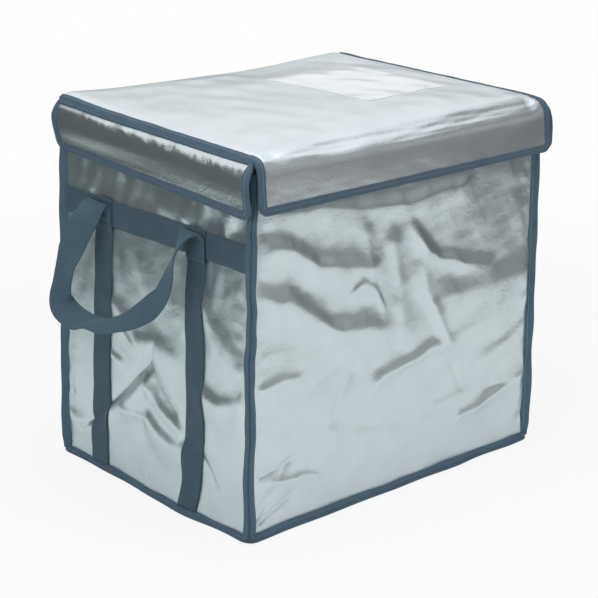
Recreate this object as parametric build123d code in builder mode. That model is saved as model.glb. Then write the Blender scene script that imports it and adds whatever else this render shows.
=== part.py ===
"""Soft insulated vaccine carrier: a box of foil laminate over foam boards, with taped seams and a flapped lid.

The frame has +Z up, +X along the wide front and the front at -Y. The origin is on the floor, under the middle of
the box. All lengths are in millimetres.
"""

from build123d import *
import math
import os

os.makedirs("parts", exist_ok=True)

# Overall box, measured over the flat faces of the outer laminate
body_width = 440.0
body_depth = 334.0
total_height = 426.0

# Sheets and boards
skin_thick = 1.0
foam_thick = 10.0
liner_thick = 1.0

# Bound seams: two seam allowances laid together, with a folded tape over both
allowance_thick = 3.0
allowance_reach = 4.0
tape_thick = 1.0
seam_round = 2.4
seam_groove = 0.6
floor_corner_radius = 9.0
floor_seam_round = 1.2
rim_tape_leg = 10.0

# Webbing on the sides
webbing_width = 30.0
webbing_thick = 2.0
band_drop = 98.0
strap_spacing = 170.0
strap_ramp = 6.0

# Handle loops
handle_drop = 121.0
handle_outreach = 50.0
handle_pivot_gap = 0.3
handle_pivot_step = 0.8
handle_sections = 33

# Lid and flaps
flap_drop = 60.0
flap_foam_thick = 1.5
flap_inset = 5.0
side_flap_inset = 7.6
flap_corner_radius = 12.0
flap_top_radius = 4.0
flap_tape_width = 9.0
lid_tape_width = 8.0
fold_radius = 6.0
hinge_gap = 0.3

# Hook and loop closure under each flap
closure_width = 25.0
closure_thick = 1.0
closure_gap = 0.3
front_closure_length = 240.0
side_closure_length = 150.0

# Sheet on the lid
label_width = 136.0
label_depth = 164.0
label_thick = 0.4
label_x = 96.0
label_y = 17.0
label_turn = 3.0

# Half sizes of the box
half_width = body_width / 2
half_depth = body_depth / 2

# Floor seam: a tape leg, the floor's allowance, the walls' allowance and a second tape leg, stacked upward
floor_margin_bottom = tape_thick
wall_bottom = floor_margin_bottom + allowance_thick
wall_margin_top = wall_bottom + allowance_thick
floor_seam_top = wall_margin_top + tape_thick
seam_reach = allowance_reach + tape_thick
seam_half = allowance_thick + tape_thick

# Heights of the mouth and the lid
lid_skin_top = total_height - tape_thick
lid_skin_bottom = lid_skin_top - skin_thick
lid_bottom = lid_skin_bottom - foam_thick - liner_thick
rim_top = lid_bottom
wall_top = rim_top - tape_thick
corner_seam_top = rim_top - rim_tape_leg
band_top = total_height - band_drop

# Flap thickness, from the closure tapes outward
flap_core_thick = skin_thick + flap_foam_thick + liner_thick
flap_core_inner = 2 * closure_thick + closure_gap
flap_core_outer = flap_core_inner + flap_core_thick
flap_inner = flap_core_inner - tape_thick
flap_outer = flap_core_outer + tape_thick
flap_bottom = total_height - flap_drop
closure_middle = (flap_bottom + flap_tape_width + corner_seam_top) / 2
side_flap_top = lid_skin_bottom - tape_thick - hinge_gap
front_flap_top = lid_skin_top - fold_radius - hinge_gap
lid_half_width = half_width + flap_outer
lid_corner_radius = flap_inset + flap_outer
lid_front = -(half_depth + flap_outer)

# Corner seams meet the wall faces this far from the corner
seam_foot = math.sqrt(2) * seam_half


def save(piece, name):
    """Label a finished piece and write it to its own STEP file."""
    piece.label = name
    export_step(piece, f"parts/{name}.step")


def board(low, high):
    """A plain rectangular sheet or board between two opposite corners."""
    size = [high[i] - low[i] for i in range(3)]
    middle = [(high[i] + low[i]) / 2 for i in range(3)]
    with BuildPart(mode=Mode.PRIVATE) as piece:
        with Locations(tuple(middle)):
            Box(*size)
    return piece.part


# Wall skins -----------------------------------------------------------------------------------------------------


def wall_skin(name, half_length, face, turn, top):
    """One wall panel of laminate with its seam allowances.

    It is drawn as a front panel, half_length either side of the middle with its outer face at y = -face, and then
    turned about Z. Its upright allowances stand out from the corners at 45 degrees, and its lower allowance turns
    out flat over the floor's.
    """
    reach = allowance_reach / math.sqrt(2)
    side = allowance_thick / math.sqrt(2)
    foot = math.sqrt(2) * allowance_thick
    with BuildPart() as piece:
        with BuildSketch(Plane.XY.offset(wall_bottom)):
            with BuildLine():
                Polyline(
                    (half_length, -face),
                    (-half_length, -face),
                    (-half_length + skin_thick, -face + skin_thick),
                    (half_length - skin_thick, -face + skin_thick),
                    close=True,
                )
            make_face()
        extrude(amount=top - wall_bottom)
        with BuildSketch(Plane.XY.offset(floor_seam_top)):
            for hand in (-1, 1):
                with BuildLine():
                    Polyline(
                        (hand * half_length, -face),
                        (hand * (half_length + reach), -face - reach),
                        (hand * (half_length + reach - side), -face - reach - side),
                        (hand * (half_length - foot), -face),
                        close=True,
                    )
                make_face()
        extrude(amount=corner_seam_top - floor_seam_top)
        with BuildSketch(Plane.XY.offset(wall_bottom)):
            RectangleRounded(
                2 * (half_length + allowance_reach),
                2 * (face + allowance_reach),
                floor_corner_radius - tape_thick,
            )
            with BuildLine():
                Polyline(
                    (half_length, -face),
                    (half_length + 2 * allowance_reach, -face - 2 * allowance_reach),
                    (-half_length - 2 * allowance_reach, -face - 2 * allowance_reach),
                    (-half_length, -face),
                    close=True,
                )
            make_face(mode=Mode.INTERSECT)
        extrude(amount=allowance_thick)
    turned = piece.part.rotate(Axis.Z, turn)
    save(turned, name)


wall_skin("front_skin", half_width, half_depth, 0, wall_top)
wall_skin("right_skin", half_depth, half_width, 90, wall_top)
wall_skin("back_skin", half_width, half_depth, 180, side_flap_top)
wall_skin("left_skin", half_depth, half_width, -90, wall_top)

with BuildPart() as bottom_skin:
    with BuildSketch():
        Rectangle(body_width, body_depth)
    extrude(amount=floor_margin_bottom)
    with BuildSketch(Plane.XY.offset(floor_margin_bottom)):
        RectangleRounded(
            body_width + 2 * allowance_reach,
            body_depth + 2 * allowance_reach,
            floor_corner_radius - tape_thick,
        )
        Rectangle(body_width - 2 * skin_thick, body_depth - 2 * skin_thick, mode=Mode.SUBTRACT)
    extrude(amount=allowance_thick)
save(bottom_skin.part, "bottom_skin")

# Foam boards and the inner bag ----------------------------------------------------------------------------------

foam_x = half_width - skin_thick
foam_y = half_depth - skin_thick
liner_x = foam_x - foam_thick
liner_y = foam_y - foam_thick
floor_foam_bottom = floor_margin_bottom
floor_foam_top = floor_foam_bottom + foam_thick

save(board((-foam_x, -foam_y, floor_foam_bottom), (foam_x, -liner_y, wall_top)), "front_foam")
save(board((-foam_x, liner_y, floor_foam_bottom), (foam_x, foam_y, wall_top)), "back_foam")
save(board((-foam_x, -liner_y, floor_foam_bottom), (-liner_x, liner_y, wall_top)), "left_foam")
save(board((liner_x, -liner_y, floor_foam_bottom), (foam_x, liner_y, wall_top)), "right_foam")
save(board((-liner_x, -liner_y, floor_foam_bottom), (liner_x, liner_y, floor_foam_top)), "bottom_foam")

with BuildPart() as inner_liner:
    with BuildSketch(Plane.XY.offset(floor_foam_top)):
        Rectangle(2 * liner_x, 2 * liner_y)
    extrude(amount=wall_top - floor_foam_top)
    with BuildSketch(Plane.XY.offset(floor_foam_top + liner_thick)):
        Rectangle(2 * (liner_x - liner_thick), 2 * (liner_y - liner_thick))
    extrude(amount=wall_top - floor_foam_top, mode=Mode.SUBTRACT)
save(inner_liner.part, "inner_liner")

# Seam tapes -----------------------------------------------------------------------------------------------------


def corner_binding(name, hand_x, hand_y):
    """A tape folded over the two allowances of an upright corner seam, with the groove of the seam down its crown.

    The section is drawn with the corner at the origin and the seam along +X.
    """
    outward = math.degrees(math.atan2(hand_y, hand_x))
    plane = Plane(
        origin=(hand_x * half_width, hand_y * half_depth, floor_seam_top),
        x_dir=(math.cos(math.radians(outward)), math.sin(math.radians(outward)), 0),
        z_dir=(0, 0, 1),
    )
    with BuildPart() as piece:
        with BuildSketch(plane) as section:
            with Locations((seam_reach - seam_half, 0)):
                Rectangle(2 * seam_half, 2 * seam_half)
            fillet(section.vertices().group_by(Axis.X)[-1], seam_round)
            with Locations((seam_reach, 0)):
                Circle(seam_groove, mode=Mode.SUBTRACT)
            with Locations((allowance_reach / 2, 0)):
                Rectangle(allowance_reach, 2 * allowance_thick, mode=Mode.SUBTRACT)
            with Locations((-seam_half, 0)):
                Rectangle(2 * seam_half, 4 * seam_half, mode=Mode.SUBTRACT)
        extrude(amount=corner_seam_top - floor_seam_top)
        with BuildSketch(Plane.XY.offset(floor_seam_top)):
            Rectangle(body_width, body_depth)
        extrude(amount=total_height, mode=Mode.SUBTRACT)
    save(piece.part, name)


corners = {"front_left": (-1, -1), "front_right": (1, -1), "rear_left": (-1, 1), "rear_right": (1, 1)}
for corner, (hand_x, hand_y) in corners.items():
    corner_binding(f"corner_binding_{corner}", hand_x, hand_y)

with BuildPart() as bottom_binding:
    with BuildSketch():
        RectangleRounded(body_width + 2 * seam_reach, body_depth + 2 * seam_reach, floor_corner_radius)
    extrude(amount=floor_seam_top)
    fillet(bottom_binding.faces().sort_by(Axis.Z)[-1].edges(), floor_seam_round)
    with BuildSketch(Plane.XY.offset(floor_margin_bottom)):
        RectangleRounded(
            body_width + 2 * allowance_reach,
            body_depth + 2 * allowance_reach,
            floor_corner_radius - tape_thick,
        )
    extrude(amount=2 * allowance_thick, mode=Mode.SUBTRACT)
    with BuildSketch():
        Rectangle(body_width, body_depth)
    extrude(amount=floor_seam_top, mode=Mode.SUBTRACT)
save(bottom_binding.part, "bottom_binding")

with BuildPart() as rim_binding:
    with BuildSketch(Plane.XY.offset(corner_seam_top)):
        Rectangle(body_width + 2 * tape_thick, body_depth + 2 * tape_thick)
    extrude(amount=rim_tape_leg)
    with BuildSketch(Plane.XY.offset(corner_seam_top)):
        Rectangle(body_width, body_depth)
    extrude(amount=rim_tape_leg - tape_thick, mode=Mode.SUBTRACT)
    with BuildSketch(Plane.XY.offset(corner_seam_top)):
        Rectangle(2 * (liner_x - liner_thick), 2 * (liner_y - liner_thick))
    extrude(amount=rim_tape_leg - tape_thick)
    with BuildSketch(Plane.XY.offset(corner_seam_top)):
        Rectangle(2 * (liner_x - liner_thick - tape_thick), 2 * (liner_y - liner_thick - tape_thick))
    extrude(amount=rim_tape_leg, mode=Mode.SUBTRACT)
    with BuildSketch(Plane.XY.offset(corner_seam_top)):
        with Locations((0, half_depth)):
            Rectangle(2 * (half_width + tape_thick), 2 * skin_thick)
    extrude(amount=rim_tape_leg, mode=Mode.SUBTRACT)
save(rim_binding.part, "rim_binding")

# Side webbing ---------------------------------------------------------------------------------------------------

band_bottom = band_top - webbing_width
band_half_length = half_depth - seam_foot
strap_face = half_width + 2 * webbing_thick


def side_strap(name, side, y_middle):
    """An upright strap, flat on the wall below and stepping out over the cross band."""
    wall = half_width
    with BuildPart() as piece:
        with BuildSketch(Plane.XZ.offset(-(y_middle + webbing_width / 2))):
            with BuildLine():
                Polyline(
                    (side * wall, floor_seam_top),
                    (side * (wall + webbing_thick), floor_seam_top),
                    (side * (wall + webbing_thick), band_bottom - strap_ramp),
                    (side * strap_face, band_bottom - strap_ramp / 2),
                    (side * strap_face, band_top),
                    (side * (wall + webbing_thick), band_top),
                    (side * (wall + webbing_thick), band_bottom),
                    (side * wall, band_bottom - strap_ramp / 2),
                    close=True,
                )
            make_face()
        extrude(amount=webbing_width)
    save(piece.part, name)


for hand, side in (("left", -1), ("right", 1)):
    near_wall = side * half_width
    far_wall = side * (half_width + webbing_thick)
    band_low = (min(near_wall, far_wall), -band_half_length, band_bottom)
    band_high = (max(near_wall, far_wall), band_half_length, band_top)
    save(board(band_low, band_high), f"{hand}_band")
    side_strap(f"{hand}_strap_front", side, -strap_spacing / 2)
    side_strap(f"{hand}_strap_rear", side, strap_spacing / 2)

# Handles --------------------------------------------------------------------------------------------------------

pivot_out = strap_face + handle_pivot_step
pivot_height = band_top + webbing_thick / 2 + handle_pivot_gap

# The loop's middle line as it hangs: along the wall and out from it, as shares of the strap spacing and the
# outreach, and up from the pivot, as a share of the drop. The last number is the direction of the webbing's width
# in plan, in degrees from straight out, towards the rear.
handle_stations = (
    (-0.50, 0.00, 0.00, -90),
    (-0.50, 0.06, -0.03, -90),
    (-0.50, 0.18, -0.10, -88),
    (-0.49, 0.36, -0.21, -80),
    (-0.47, 0.52, -0.35, -62),
    (-0.42, 0.66, -0.51, -40),
    (-0.33, 0.78, -0.69, -20),
    (-0.18, 0.87, -0.85, -6),
    (0.02, 0.92, -0.96, 0),
    (0.24, 0.96, -1.00, 2),
    (0.42, 1.00, -0.96, 4),
    (0.53, 1.00, -0.80, 12),
    (0.55, 0.86, -0.58, 36),
    (0.53, 0.60, -0.37, 60),
    (0.51, 0.36, -0.21, 76),
    (0.50, 0.18, -0.10, 86),
    (0.50, 0.06, -0.03, 90),
    (0.50, 0.00, 0.00, 90),
)


def webbing_turn(share, shares):
    """The direction of the webbing's width at a share of the loop's run, between the stations either side."""
    after = max(1, min(len(shares) - 1, sum(1 for station in shares if station <= share)))
    part_way = (share - shares[after - 1]) / (shares[after] - shares[after - 1])
    turn_before = handle_stations[after - 1][3]
    turn_after = handle_stations[after][3]
    return math.radians(turn_before + part_way * (turn_after - turn_before))


def handle(name, side):
    """A loop of webbing that leaves one strap, folds outward, hangs, twists through half a turn and returns.

    Sections of the webbing follow a smooth line through the stations, each square to the line. The loop leaves its
    pivots close to the wall, so that it can swing up beside the lid.
    """
    middle = [
        Vector(
            side * (pivot_out + out * handle_outreach),
            along * strap_spacing,
            pivot_height + rise * handle_drop,
        )
        for along, out, rise, turn in handle_stations
    ]
    run = Spline(*middle)
    shares = [run.param_at_point(point) for point in middle]
    with BuildPart() as piece:
        for step in range(handle_sections):
            share = step / (handle_sections - 1)
            turn = webbing_turn(share, shares)
            tangent = run % share
            level = Vector(side * math.cos(turn), math.sin(turn), 0)
            across = level - tangent * level.dot(tangent)
            with BuildSketch(Plane(origin=run @ share, x_dir=across, z_dir=tangent)):
                Rectangle(webbing_width, webbing_thick)
        loft()
    save(piece.part, name)


handle("left_handle", -1)
handle("right_handle", 1)

# Lid ------------------------------------------------------------------------------------------------------------


def lid_sheet(reach, grow):
    """The lid's top sheet as a sheet that runs forward and turns down over the front fold.

    reach is its half width, and grow thickens it on both faces. Its front corners are rounded in plan, down to the
    width of the front flap.
    """
    outer = fold_radius + grow
    inner = fold_radius - skin_thick - grow
    fold_y = lid_front + fold_radius
    fold_z = lid_skin_top - fold_radius
    with BuildPart() as piece:
        with BuildSketch(Plane.YZ):
            with BuildLine():
                Line((half_depth, fold_z + outer), (fold_y, fold_z + outer))
                CenterArc((fold_y, fold_z), outer, 90, 90)
                Line((fold_y - outer, fold_z), (fold_y - inner, fold_z))
                CenterArc((fold_y, fold_z), inner, 90, 90)
                Line((fold_y, fold_z + inner), (half_depth, fold_z + inner))
                Line((half_depth, fold_z + inner), (half_depth, fold_z + outer))
            make_face()
        extrude(amount=lid_half_width, both=True)
        with BuildSketch() as plan:
            with Locations((0, half_depth)):
                Rectangle(2 * reach, 2 * (half_depth - lid_front + grow - lid_half_width + reach))
            fillet(plan.vertices().group_by(Axis.Y)[0], lid_corner_radius - lid_half_width + reach)
        extrude(amount=total_height, mode=Mode.INTERSECT)
    return piece.part


lid_skin = lid_sheet(lid_half_width - tape_thick, 0)
save(lid_skin, "lid_skin")

for hand, side in (("left", -1), ("right", 1)):
    lid_tape_shape = lid_sheet(lid_half_width, tape_thick)
    with BuildPart() as lid_binding:
        add(lid_tape_shape)
        with Locations((side * (lid_half_width - lid_tape_width / 2), 0, total_height / 2)):
            Box(lid_tape_width, 2 * total_height, 2 * total_height, mode=Mode.INTERSECT)
        add(lid_skin, mode=Mode.SUBTRACT)
    save(lid_binding.part, f"lid_binding_{hand}")

lid_tray_x = lid_half_width - lid_tape_width - hinge_gap
lid_tray_rear = half_depth - skin_thick - hinge_gap
lid_tray_low = (-lid_tray_x, -half_depth, lid_bottom)
lid_tray_high = (lid_tray_x, lid_tray_rear, lid_skin_bottom)
lid_board_low = (-lid_tray_x + liner_thick, -half_depth + liner_thick, lid_bottom + liner_thick)
lid_board_high = (lid_tray_x - liner_thick, lid_tray_rear - liner_thick, lid_skin_bottom)

save(board(lid_board_low, lid_board_high), "lid_foam")
with BuildPart() as lid_lining:
    add(board(lid_tray_low, lid_tray_high))
    add(board(lid_board_low, lid_board_high), mode=Mode.SUBTRACT)
save(lid_lining.part, "lid_lining")

with BuildPart() as blank_label:
    with BuildSketch(Plane.XY.offset(lid_skin_top)):
        with Locations(Location((label_x, label_y), label_turn)):
            Rectangle(label_width, label_depth)
    extrude(amount=label_thick)
save(blank_label.part, "blank_label")

# Flaps and their closure tapes ----------------------------------------------------------------------------------


def flap_outline(half_length, top, inset, open_top):
    """The flap's outline in its own plane, moved in from its edges by inset.

    An open top runs straight up to the fold. A closed one is bound like the other edges.
    """
    upper = top if open_top else top - inset
    lower = flap_bottom + inset
    with Locations((0, (upper + lower) / 2)):
        outline = Rectangle(2 * (half_length - inset), upper - lower)
    fillet(outline.vertices().group_by(Axis.Y)[0], max(flap_corner_radius - inset, tape_thick))
    if not open_top:
        fillet(outline.vertices().group_by(Axis.Y)[-1], max(flap_top_radius - inset, tape_thick))


def layer(name, plane, low, high, half_length, top, open_top):
    """One sheet of a flap, between two distances out from the wall."""
    with BuildPart() as piece:
        with BuildSketch(plane.offset(low)):
            flap_outline(half_length, top, tape_thick, open_top)
        extrude(amount=high - low)
    save(piece.part, name)


def closure_tape(name, plane, low, length):
    """One half of the closure, a strip along the flap's lower edge."""
    with BuildPart() as piece:
        with BuildSketch(plane.offset(low)):
            with Locations((0, closure_middle)):
                Rectangle(length, closure_width)
        extrude(amount=closure_thick)
    save(piece.part, name)


def flap(hand, plane, half_length, top, closure_length, open_top):
    """A flap of skin, foam and lining with a tape folded round its edge, and the closure under it."""
    lining_out = flap_core_inner + liner_thick
    foam_out = lining_out + flap_foam_thick
    layer(f"{hand}_flap_lining", plane, flap_core_inner, lining_out, half_length, top, open_top)
    layer(f"{hand}_flap_foam", plane, lining_out, foam_out, half_length, top, open_top)
    layer(f"{hand}_flap_skin", plane, foam_out, flap_core_outer, half_length, top, open_top)
    with BuildPart() as binding:
        with BuildSketch(plane.offset(flap_inner)):
            flap_outline(half_length, top, 0, open_top)
        extrude(amount=flap_outer - flap_inner)
        with BuildSketch(plane.offset(flap_core_inner)):
            flap_outline(half_length, top, tape_thick, open_top)
        extrude(amount=flap_core_thick, mode=Mode.SUBTRACT)
        with BuildSketch(plane.offset(flap_inner)):
            flap_outline(half_length, top, flap_tape_width, open_top)
        extrude(amount=flap_outer - flap_inner, mode=Mode.SUBTRACT)
    save(binding.part, f"{hand}_flap_binding")
    closure_tape(f"{hand}_hook_tape", plane, closure_thick + closure_gap, closure_length)
    closure_tape(f"{hand}_loop_tape", plane, 0, closure_length)


front_wall = Plane(origin=(0, -half_depth, 0), x_dir=(1, 0, 0), z_dir=(0, -1, 0))
left_wall = Plane(origin=(-half_width, 0, 0), x_dir=(0, -1, 0), z_dir=(-1, 0, 0))
right_wall = Plane(origin=(half_width, 0, 0), x_dir=(0, 1, 0), z_dir=(1, 0, 0))
flap("front", front_wall, half_width - flap_inset, front_flap_top, front_closure_length, True)
flap("left", left_wall, half_depth - side_flap_inset, side_flap_top, side_closure_length, False)
flap("right", right_wall, half_depth - side_flap_inset, side_flap_top, side_closure_length, False)
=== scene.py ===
# %% [markdown]
# # A soft vaccine carrier in foil laminate
#
# The carrier is a sewn box. Its walls are sheets of foil laminate over foam, its seams are bound in folded
# tape, and its lid is one sheet that turns down at the front into a flap. Nothing on it is quite flat, so
# every piece here is a surface worked out with numpy in millimetres, and only the last step turns it into
# metres.

import math

import bpy
import numpy as np
from mathutils import Matrix, Vector


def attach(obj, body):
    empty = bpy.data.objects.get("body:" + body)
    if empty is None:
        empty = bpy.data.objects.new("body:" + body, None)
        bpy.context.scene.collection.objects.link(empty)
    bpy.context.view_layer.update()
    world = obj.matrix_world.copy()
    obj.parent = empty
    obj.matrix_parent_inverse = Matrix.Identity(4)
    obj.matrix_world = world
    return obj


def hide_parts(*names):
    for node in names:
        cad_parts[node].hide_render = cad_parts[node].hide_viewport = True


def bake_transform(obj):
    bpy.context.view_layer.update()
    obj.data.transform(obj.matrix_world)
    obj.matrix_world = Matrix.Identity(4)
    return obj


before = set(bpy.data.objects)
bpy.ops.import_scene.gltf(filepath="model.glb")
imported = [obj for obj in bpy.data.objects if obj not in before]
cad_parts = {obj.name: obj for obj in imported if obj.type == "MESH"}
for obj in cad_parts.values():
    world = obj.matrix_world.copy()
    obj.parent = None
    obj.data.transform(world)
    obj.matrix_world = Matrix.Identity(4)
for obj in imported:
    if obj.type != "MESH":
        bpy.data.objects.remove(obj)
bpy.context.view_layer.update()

# %% [markdown]
# ## Sizes
#
# The box has the width and depth of the solids and the height of their mouth. The soft surfaces lie within a
# few millimetres of the solids.

# %% Sizes in millimetres
MM = 0.001
half_width = 220.0
half_depth = 167.0
mouth_height = 412.0
webbing_width = 30.0

# %% [markdown]
# ## Curves and small waves
#
# Cloth needs three kinds of form. A smooth step eases one value into another. A rolling surface is a sum of
# plane sine waves in different directions, which has no visible repeat. A fold is a ridge or a valley along a
# bent line, with its own width on each side, because real folds are steeper on one side.

# %% Smooth steps, rolling surfaces and folds


def ease(value, start, end):
    """0 before start, 1 after end, and 3t^2 - 2t^3 between them."""
    share = np.clip((value - start) / (end - start), 0, 1)
    return share * share * (3 - 2 * share)


def rolling(across, up, length, seed, waves=11):
    """A soft random surface of height about 1: the mean of sine waves of about one length, in random
    directions."""
    chance = np.random.default_rng(seed)
    angle = chance.uniform(0, np.pi, waves)
    stretches = chance.uniform(0.75, 1.5, waves)
    phase = chance.uniform(0, 2 * np.pi, waves)
    total = 0
    for turn, stretch, start in zip(angle, stretches, phase):
        place = across * np.cos(turn) + up * np.sin(turn)
        total = total + np.sin(place * 2 * np.pi / (length * stretch) + start)
    return total / np.sqrt(waves / 2)


def fold(along, off, line, height, before, after, ends=25.0, power=2.0):
    """A fold whose crest follows line, a list of (along, off) points. Its height falls off as
    exp(-|distance / width|^power), with one width before the crest and one after it, and fades at both ends.
    Two sine waves bend the crest a little and swell its width, because no fold in cloth runs straight."""
    line = np.array(line, float)
    bend = 1.7 * np.sin(along / 14 + line[0, 1]) + 0.6 * np.sin(along / 6.1 + line[1, 1])
    distance = off - np.interp(along, line[:, 0], line[:, 1]) - bend
    width = np.where(distance < 0, before, after) * (1 + 0.15 * np.sin(along / 19 + line[1, 0]))
    fade = ease(along, line[0, 0] - ends / 2, line[0, 0] + ends)
    fade = fade * (1 - ease(along, line[-1, 0] - ends, line[-1, 0] + ends / 2))
    return height * np.exp(-np.abs(distance / width) ** power) * fade


def creased_line(across, up, start, end, height, left, right, power=1.1):
    """A straight crease from start to end, deepest in its middle. left and right are its widths on each
    side."""
    start, end = np.array(start, float), np.array(end, float)
    run = end - start
    length = np.hypot(*run)
    run = run / length
    along = (across - start[0]) * run[0] + (up - start[1]) * run[1]
    distance = (across - start[0]) * -run[1] + (up - start[1]) * run[0]
    width = np.where(distance > 0, left, right)
    fade = ease(along, -0.12 * length, 0.25 * length) * (1 - ease(along, 0.7 * length, 1.1 * length))
    return height * np.exp(-np.abs(distance / width) ** power) * fade


# %% [markdown]
# ## The soft box
#
# The box leans inward a little towards its mouth, because the foam is bound together at the floor and only
# folded over at the top. Each wall has its own (across, up) plane, and give() says how far its laminate
# stands out of that plane at each point. Everything sewn to a wall is placed with the same function, so it
# follows the wall.

# %% How the box leans


def lean_x(height):
    """How far the left and right walls stand out of the plain box at a height."""
    return np.interp(height, [0, 12, 180, 345, 412], [1.9, 2.0, 0.7, -2.1, -3.6])


def foot(s, height):
    """How far the left wall's foot is pushed out by the floor's board, at s along the wall."""
    return 6.5 * np.exp(-(((s - 45) / 75) ** 2)) * (1 - ease(height, 0, 46))


def lean_y(height):
    """The same for the front and back walls."""
    return np.interp(height, [0, 12, 180, 345, 412], [-1.5, -1.6, -3.4, -5.0, -6.0])


# %% [markdown]
# ### Folds of the front wall
#
# The front wall has been folded flat many times. Soft rolls come in from its left and right edges, upright
# pleats stand in its middle, and short creases lie among them, many of them low on the left. Each is one row
# of a table, so a fold can be moved by moving the points of its crest. A roll or a pleat is the points of its
# crest, its height, its width before and after the crest, and where it differs from the usual the length of
# its faded ends and its power. Rolls run across the wall, with (across, up) points. Pleats run up it, with
# (up, across) points. A crease is its two ends, its height, its widths on both sides and its power. Heights
# are out from the wall, so a valley's is below 0.

# %% The front wall's folds

FRONT_ROLLS = [
    ([(-225, 328), (-170, 315), (-128, 293), (-88, 279), (-34, 270)], 6.0, 24, 12.5, 36, 1.8),
    ([(-225, 276), (-172, 261), (-129, 230), (-90, 210), (-8, 193)], 6.2, 24, 15, 42, 1.8),
    (
        [(-225, 362), (-145, 355), (-90, 347), (-45, 339), (1, 336), (60, 338), (110, 346)],
        5.0, 27, 11, 22, 1.8,
    ),
    ([(-82, 250), (-64, 257), (-41, 245), (-25, 220)], 3.4, 12, 6, 8, 1.5),
    ([(10, 310), (38, 277), (60, 262), (95, 250), (150, 240)], 4.4, 14, 9, 34, 1.7),
    ([(56, 214), (113, 209), (156, 211), (228, 214)], 6.2, 34, 23, 26),
    ([(84, 158), (150, 168), (228, 186)], 3.6, 24, 20, 24),
    ([(-44, 135), (10, 150), (45, 158), (78, 153)], 4.6, 12, 10, 20, 1.7),
    ([(120, 120), (171, 132), (228, 150)], 3.6, 22, 14, 20),
    ([(94, 58), (149, 72), (185, 80), (228, 93)], 4.2, 13, 8, 12, 1.4),
    ([(-209, 168), (-178, 174), (-146, 171)], 2.6, 9, 7, 12, 1.6),
    ([(-190, 62), (-155, 56), (-116, 50)], 2.7, 8, 5, 10, 1.4),
    ([(-90, 104), (-40, 100), (10, 108)], -1.2, 20, 16, 20),
    ([(-150, 40), (-100, 36), (-60, 44)], 1.3, 10, 9, 16),
    ([(20, 84), (70, 80), (120, 90)], 1.3, 12, 10, 18),
]
FRONT_PLEATS = [
    ([(140, 88), (152, 82), (191, 57), (231, 38), (279, 28), (308, 17)], 5.4, 9, 12, 22, 1.6),
    ([(166, 9), (180, 6), (229, -5), (288, -13), (314, -19)], 4.8, 9, 16, 22, 1.7),
    ([(262, -50), (300, -56), (328, -62)], 4.2, 9, 13, 18, 1.7),
]
FRONT_CREASES = [
    ((140, 84), (206, 82), -1.8, 5, 6),
    ((-218, 70), (-150, 80), -2.1, 3.5, 5),
    ((-216, 14), (-150, 44), -2.2, 4.5, 5),
    ((-212, 11), (-178, 58), -1.6, 3.5, 4.5),
    ((-214, 30), (-186, 52), -1.3, 3.5, 4),
    ((-60, 180), (-110, 96), -1.6, 8, 7, 1.4),
    ((64, 175), (110, 83), -1.6, 5, 6),
    ((-90, 200), (-50, 152), 2.2, 8, 8, 1.5),
    ((-46, 146), (-68, 115), -1.0, 5, 6),
    ((-78, 93), (114, 56), -1.2, 10, 12, 1.5),
    ((-204, 34), (-150, 96), -1.0, 5, 7),
    ((196, 16), (214, 40), -1.2, 5, 5),
]


def folded(s, z, rolls, pleats, creases):
    """The sum of a wall's rolls, pleats and creases at (across, up)."""
    out = 0 * s
    for roll in rolls:
        out = out + fold(s, z, *roll)
    for pleat in pleats:
        out = out + fold(z, s, *pleat)
    for crease in creases:
        out = out + creased_line(s, z, *crease)
    return out


def front_folds(s, z):
    """The front laminate's form: its folds and three sizes of soft waves, the longest weaker at the floor."""
    out = folded(s, z, FRONT_ROLLS, FRONT_PLEATS, FRONT_CREASES)
    out = out + 0.24 * rolling(s, z, 46, 3) * ease(z, 0, 60)
    return out + 0.12 * rolling(s * 0.7, z, 26, 5) + 0.06 * rolling(s, z, 15, 4)


# %% [markdown]
# ### Folds of the side walls
#
# When the empty carrier is packed flat, each side wall folds inward along a triangle. The triangle's two
# limbs start at a point above the middle of the floor seam and run down behind the straps to the lower
# corners.

# %% The side wall's folds

SIDE_ROLLS = [
    ([(-138, 36), (-127, 44), (-106, 61), (-79, 87), (-35, 128), (-6, 158), (5, 182)], -3.6, 6, 8, 8, 1.3),
    ([(-84, 72), (-51, 92), (-32, 108), (-12, 128), (4, 142)], 4.6, 24, 11, 10),
    ([(-58, 87), (-34, 87), (-8, 91)], 2.2, 8, 5, 8, 1.6),
    ([(-14, 90), (0, 84), (16, 76), (34, 72), (70, 72)], 4.8, 30, 10, 10),
    ([(-4, 166), (14, 141), (28, 127), (48, 110)], -2.6, 8, 4, 6, 1.3),
    ([(-12, 132), (3, 121), (15, 107), (31, 99), (56, 92)], 3.6, 14, 9, 8),
    ([(-172, 56), (-142, 45), (-112, 48)], 3.6, 14, 9, 8),
    ([(-80, 150), (-66, 143), (-54, 140)], 2.0, 8, 5, 6),
    ([(-70, 188), (-50, 178), (-32, 166)], 2.2, 10, 6, 8),
    ([(-36, 176), (0, 179), (46, 171)], 3.0, 20, 12, 16),
    ([(-96, 213), (-60, 202), (-28, 185)], 3.0, 16, 12, 14),
    ([(80, 262), (95, 244), (108, 226), (126, 209), (145, 195), (170, 184)], 3.7, 26, 16, 12),
    ([(78, 147), (93, 144), (116, 143), (148, 150), (172, 160)], 4.2, 26, 12, 12),
]
SIDE_CREASES = [
    ((-168, 84), (-146, 80), -1.6, 4, 6),
    ((84, 80), (116, 40), -2.2, 5, 5),
    ((-8, 20), (6, 7), -1.4, 4, 5),
    ((95, 15), (164, 3), -1.3, 6, 6),
]
# Each crumple is its middle, its half sizes, its slant in degrees, its period and its height
SIDE_CRUMPLES = [
    ((101, 57), (9, 15), 40, 7.0, 0.5),
    ((126, 10), (28, 6), 15, 8.0, 0.7),
    ((-158, 12), (9, 8), 60, 7.0, 0.5),
]


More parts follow.
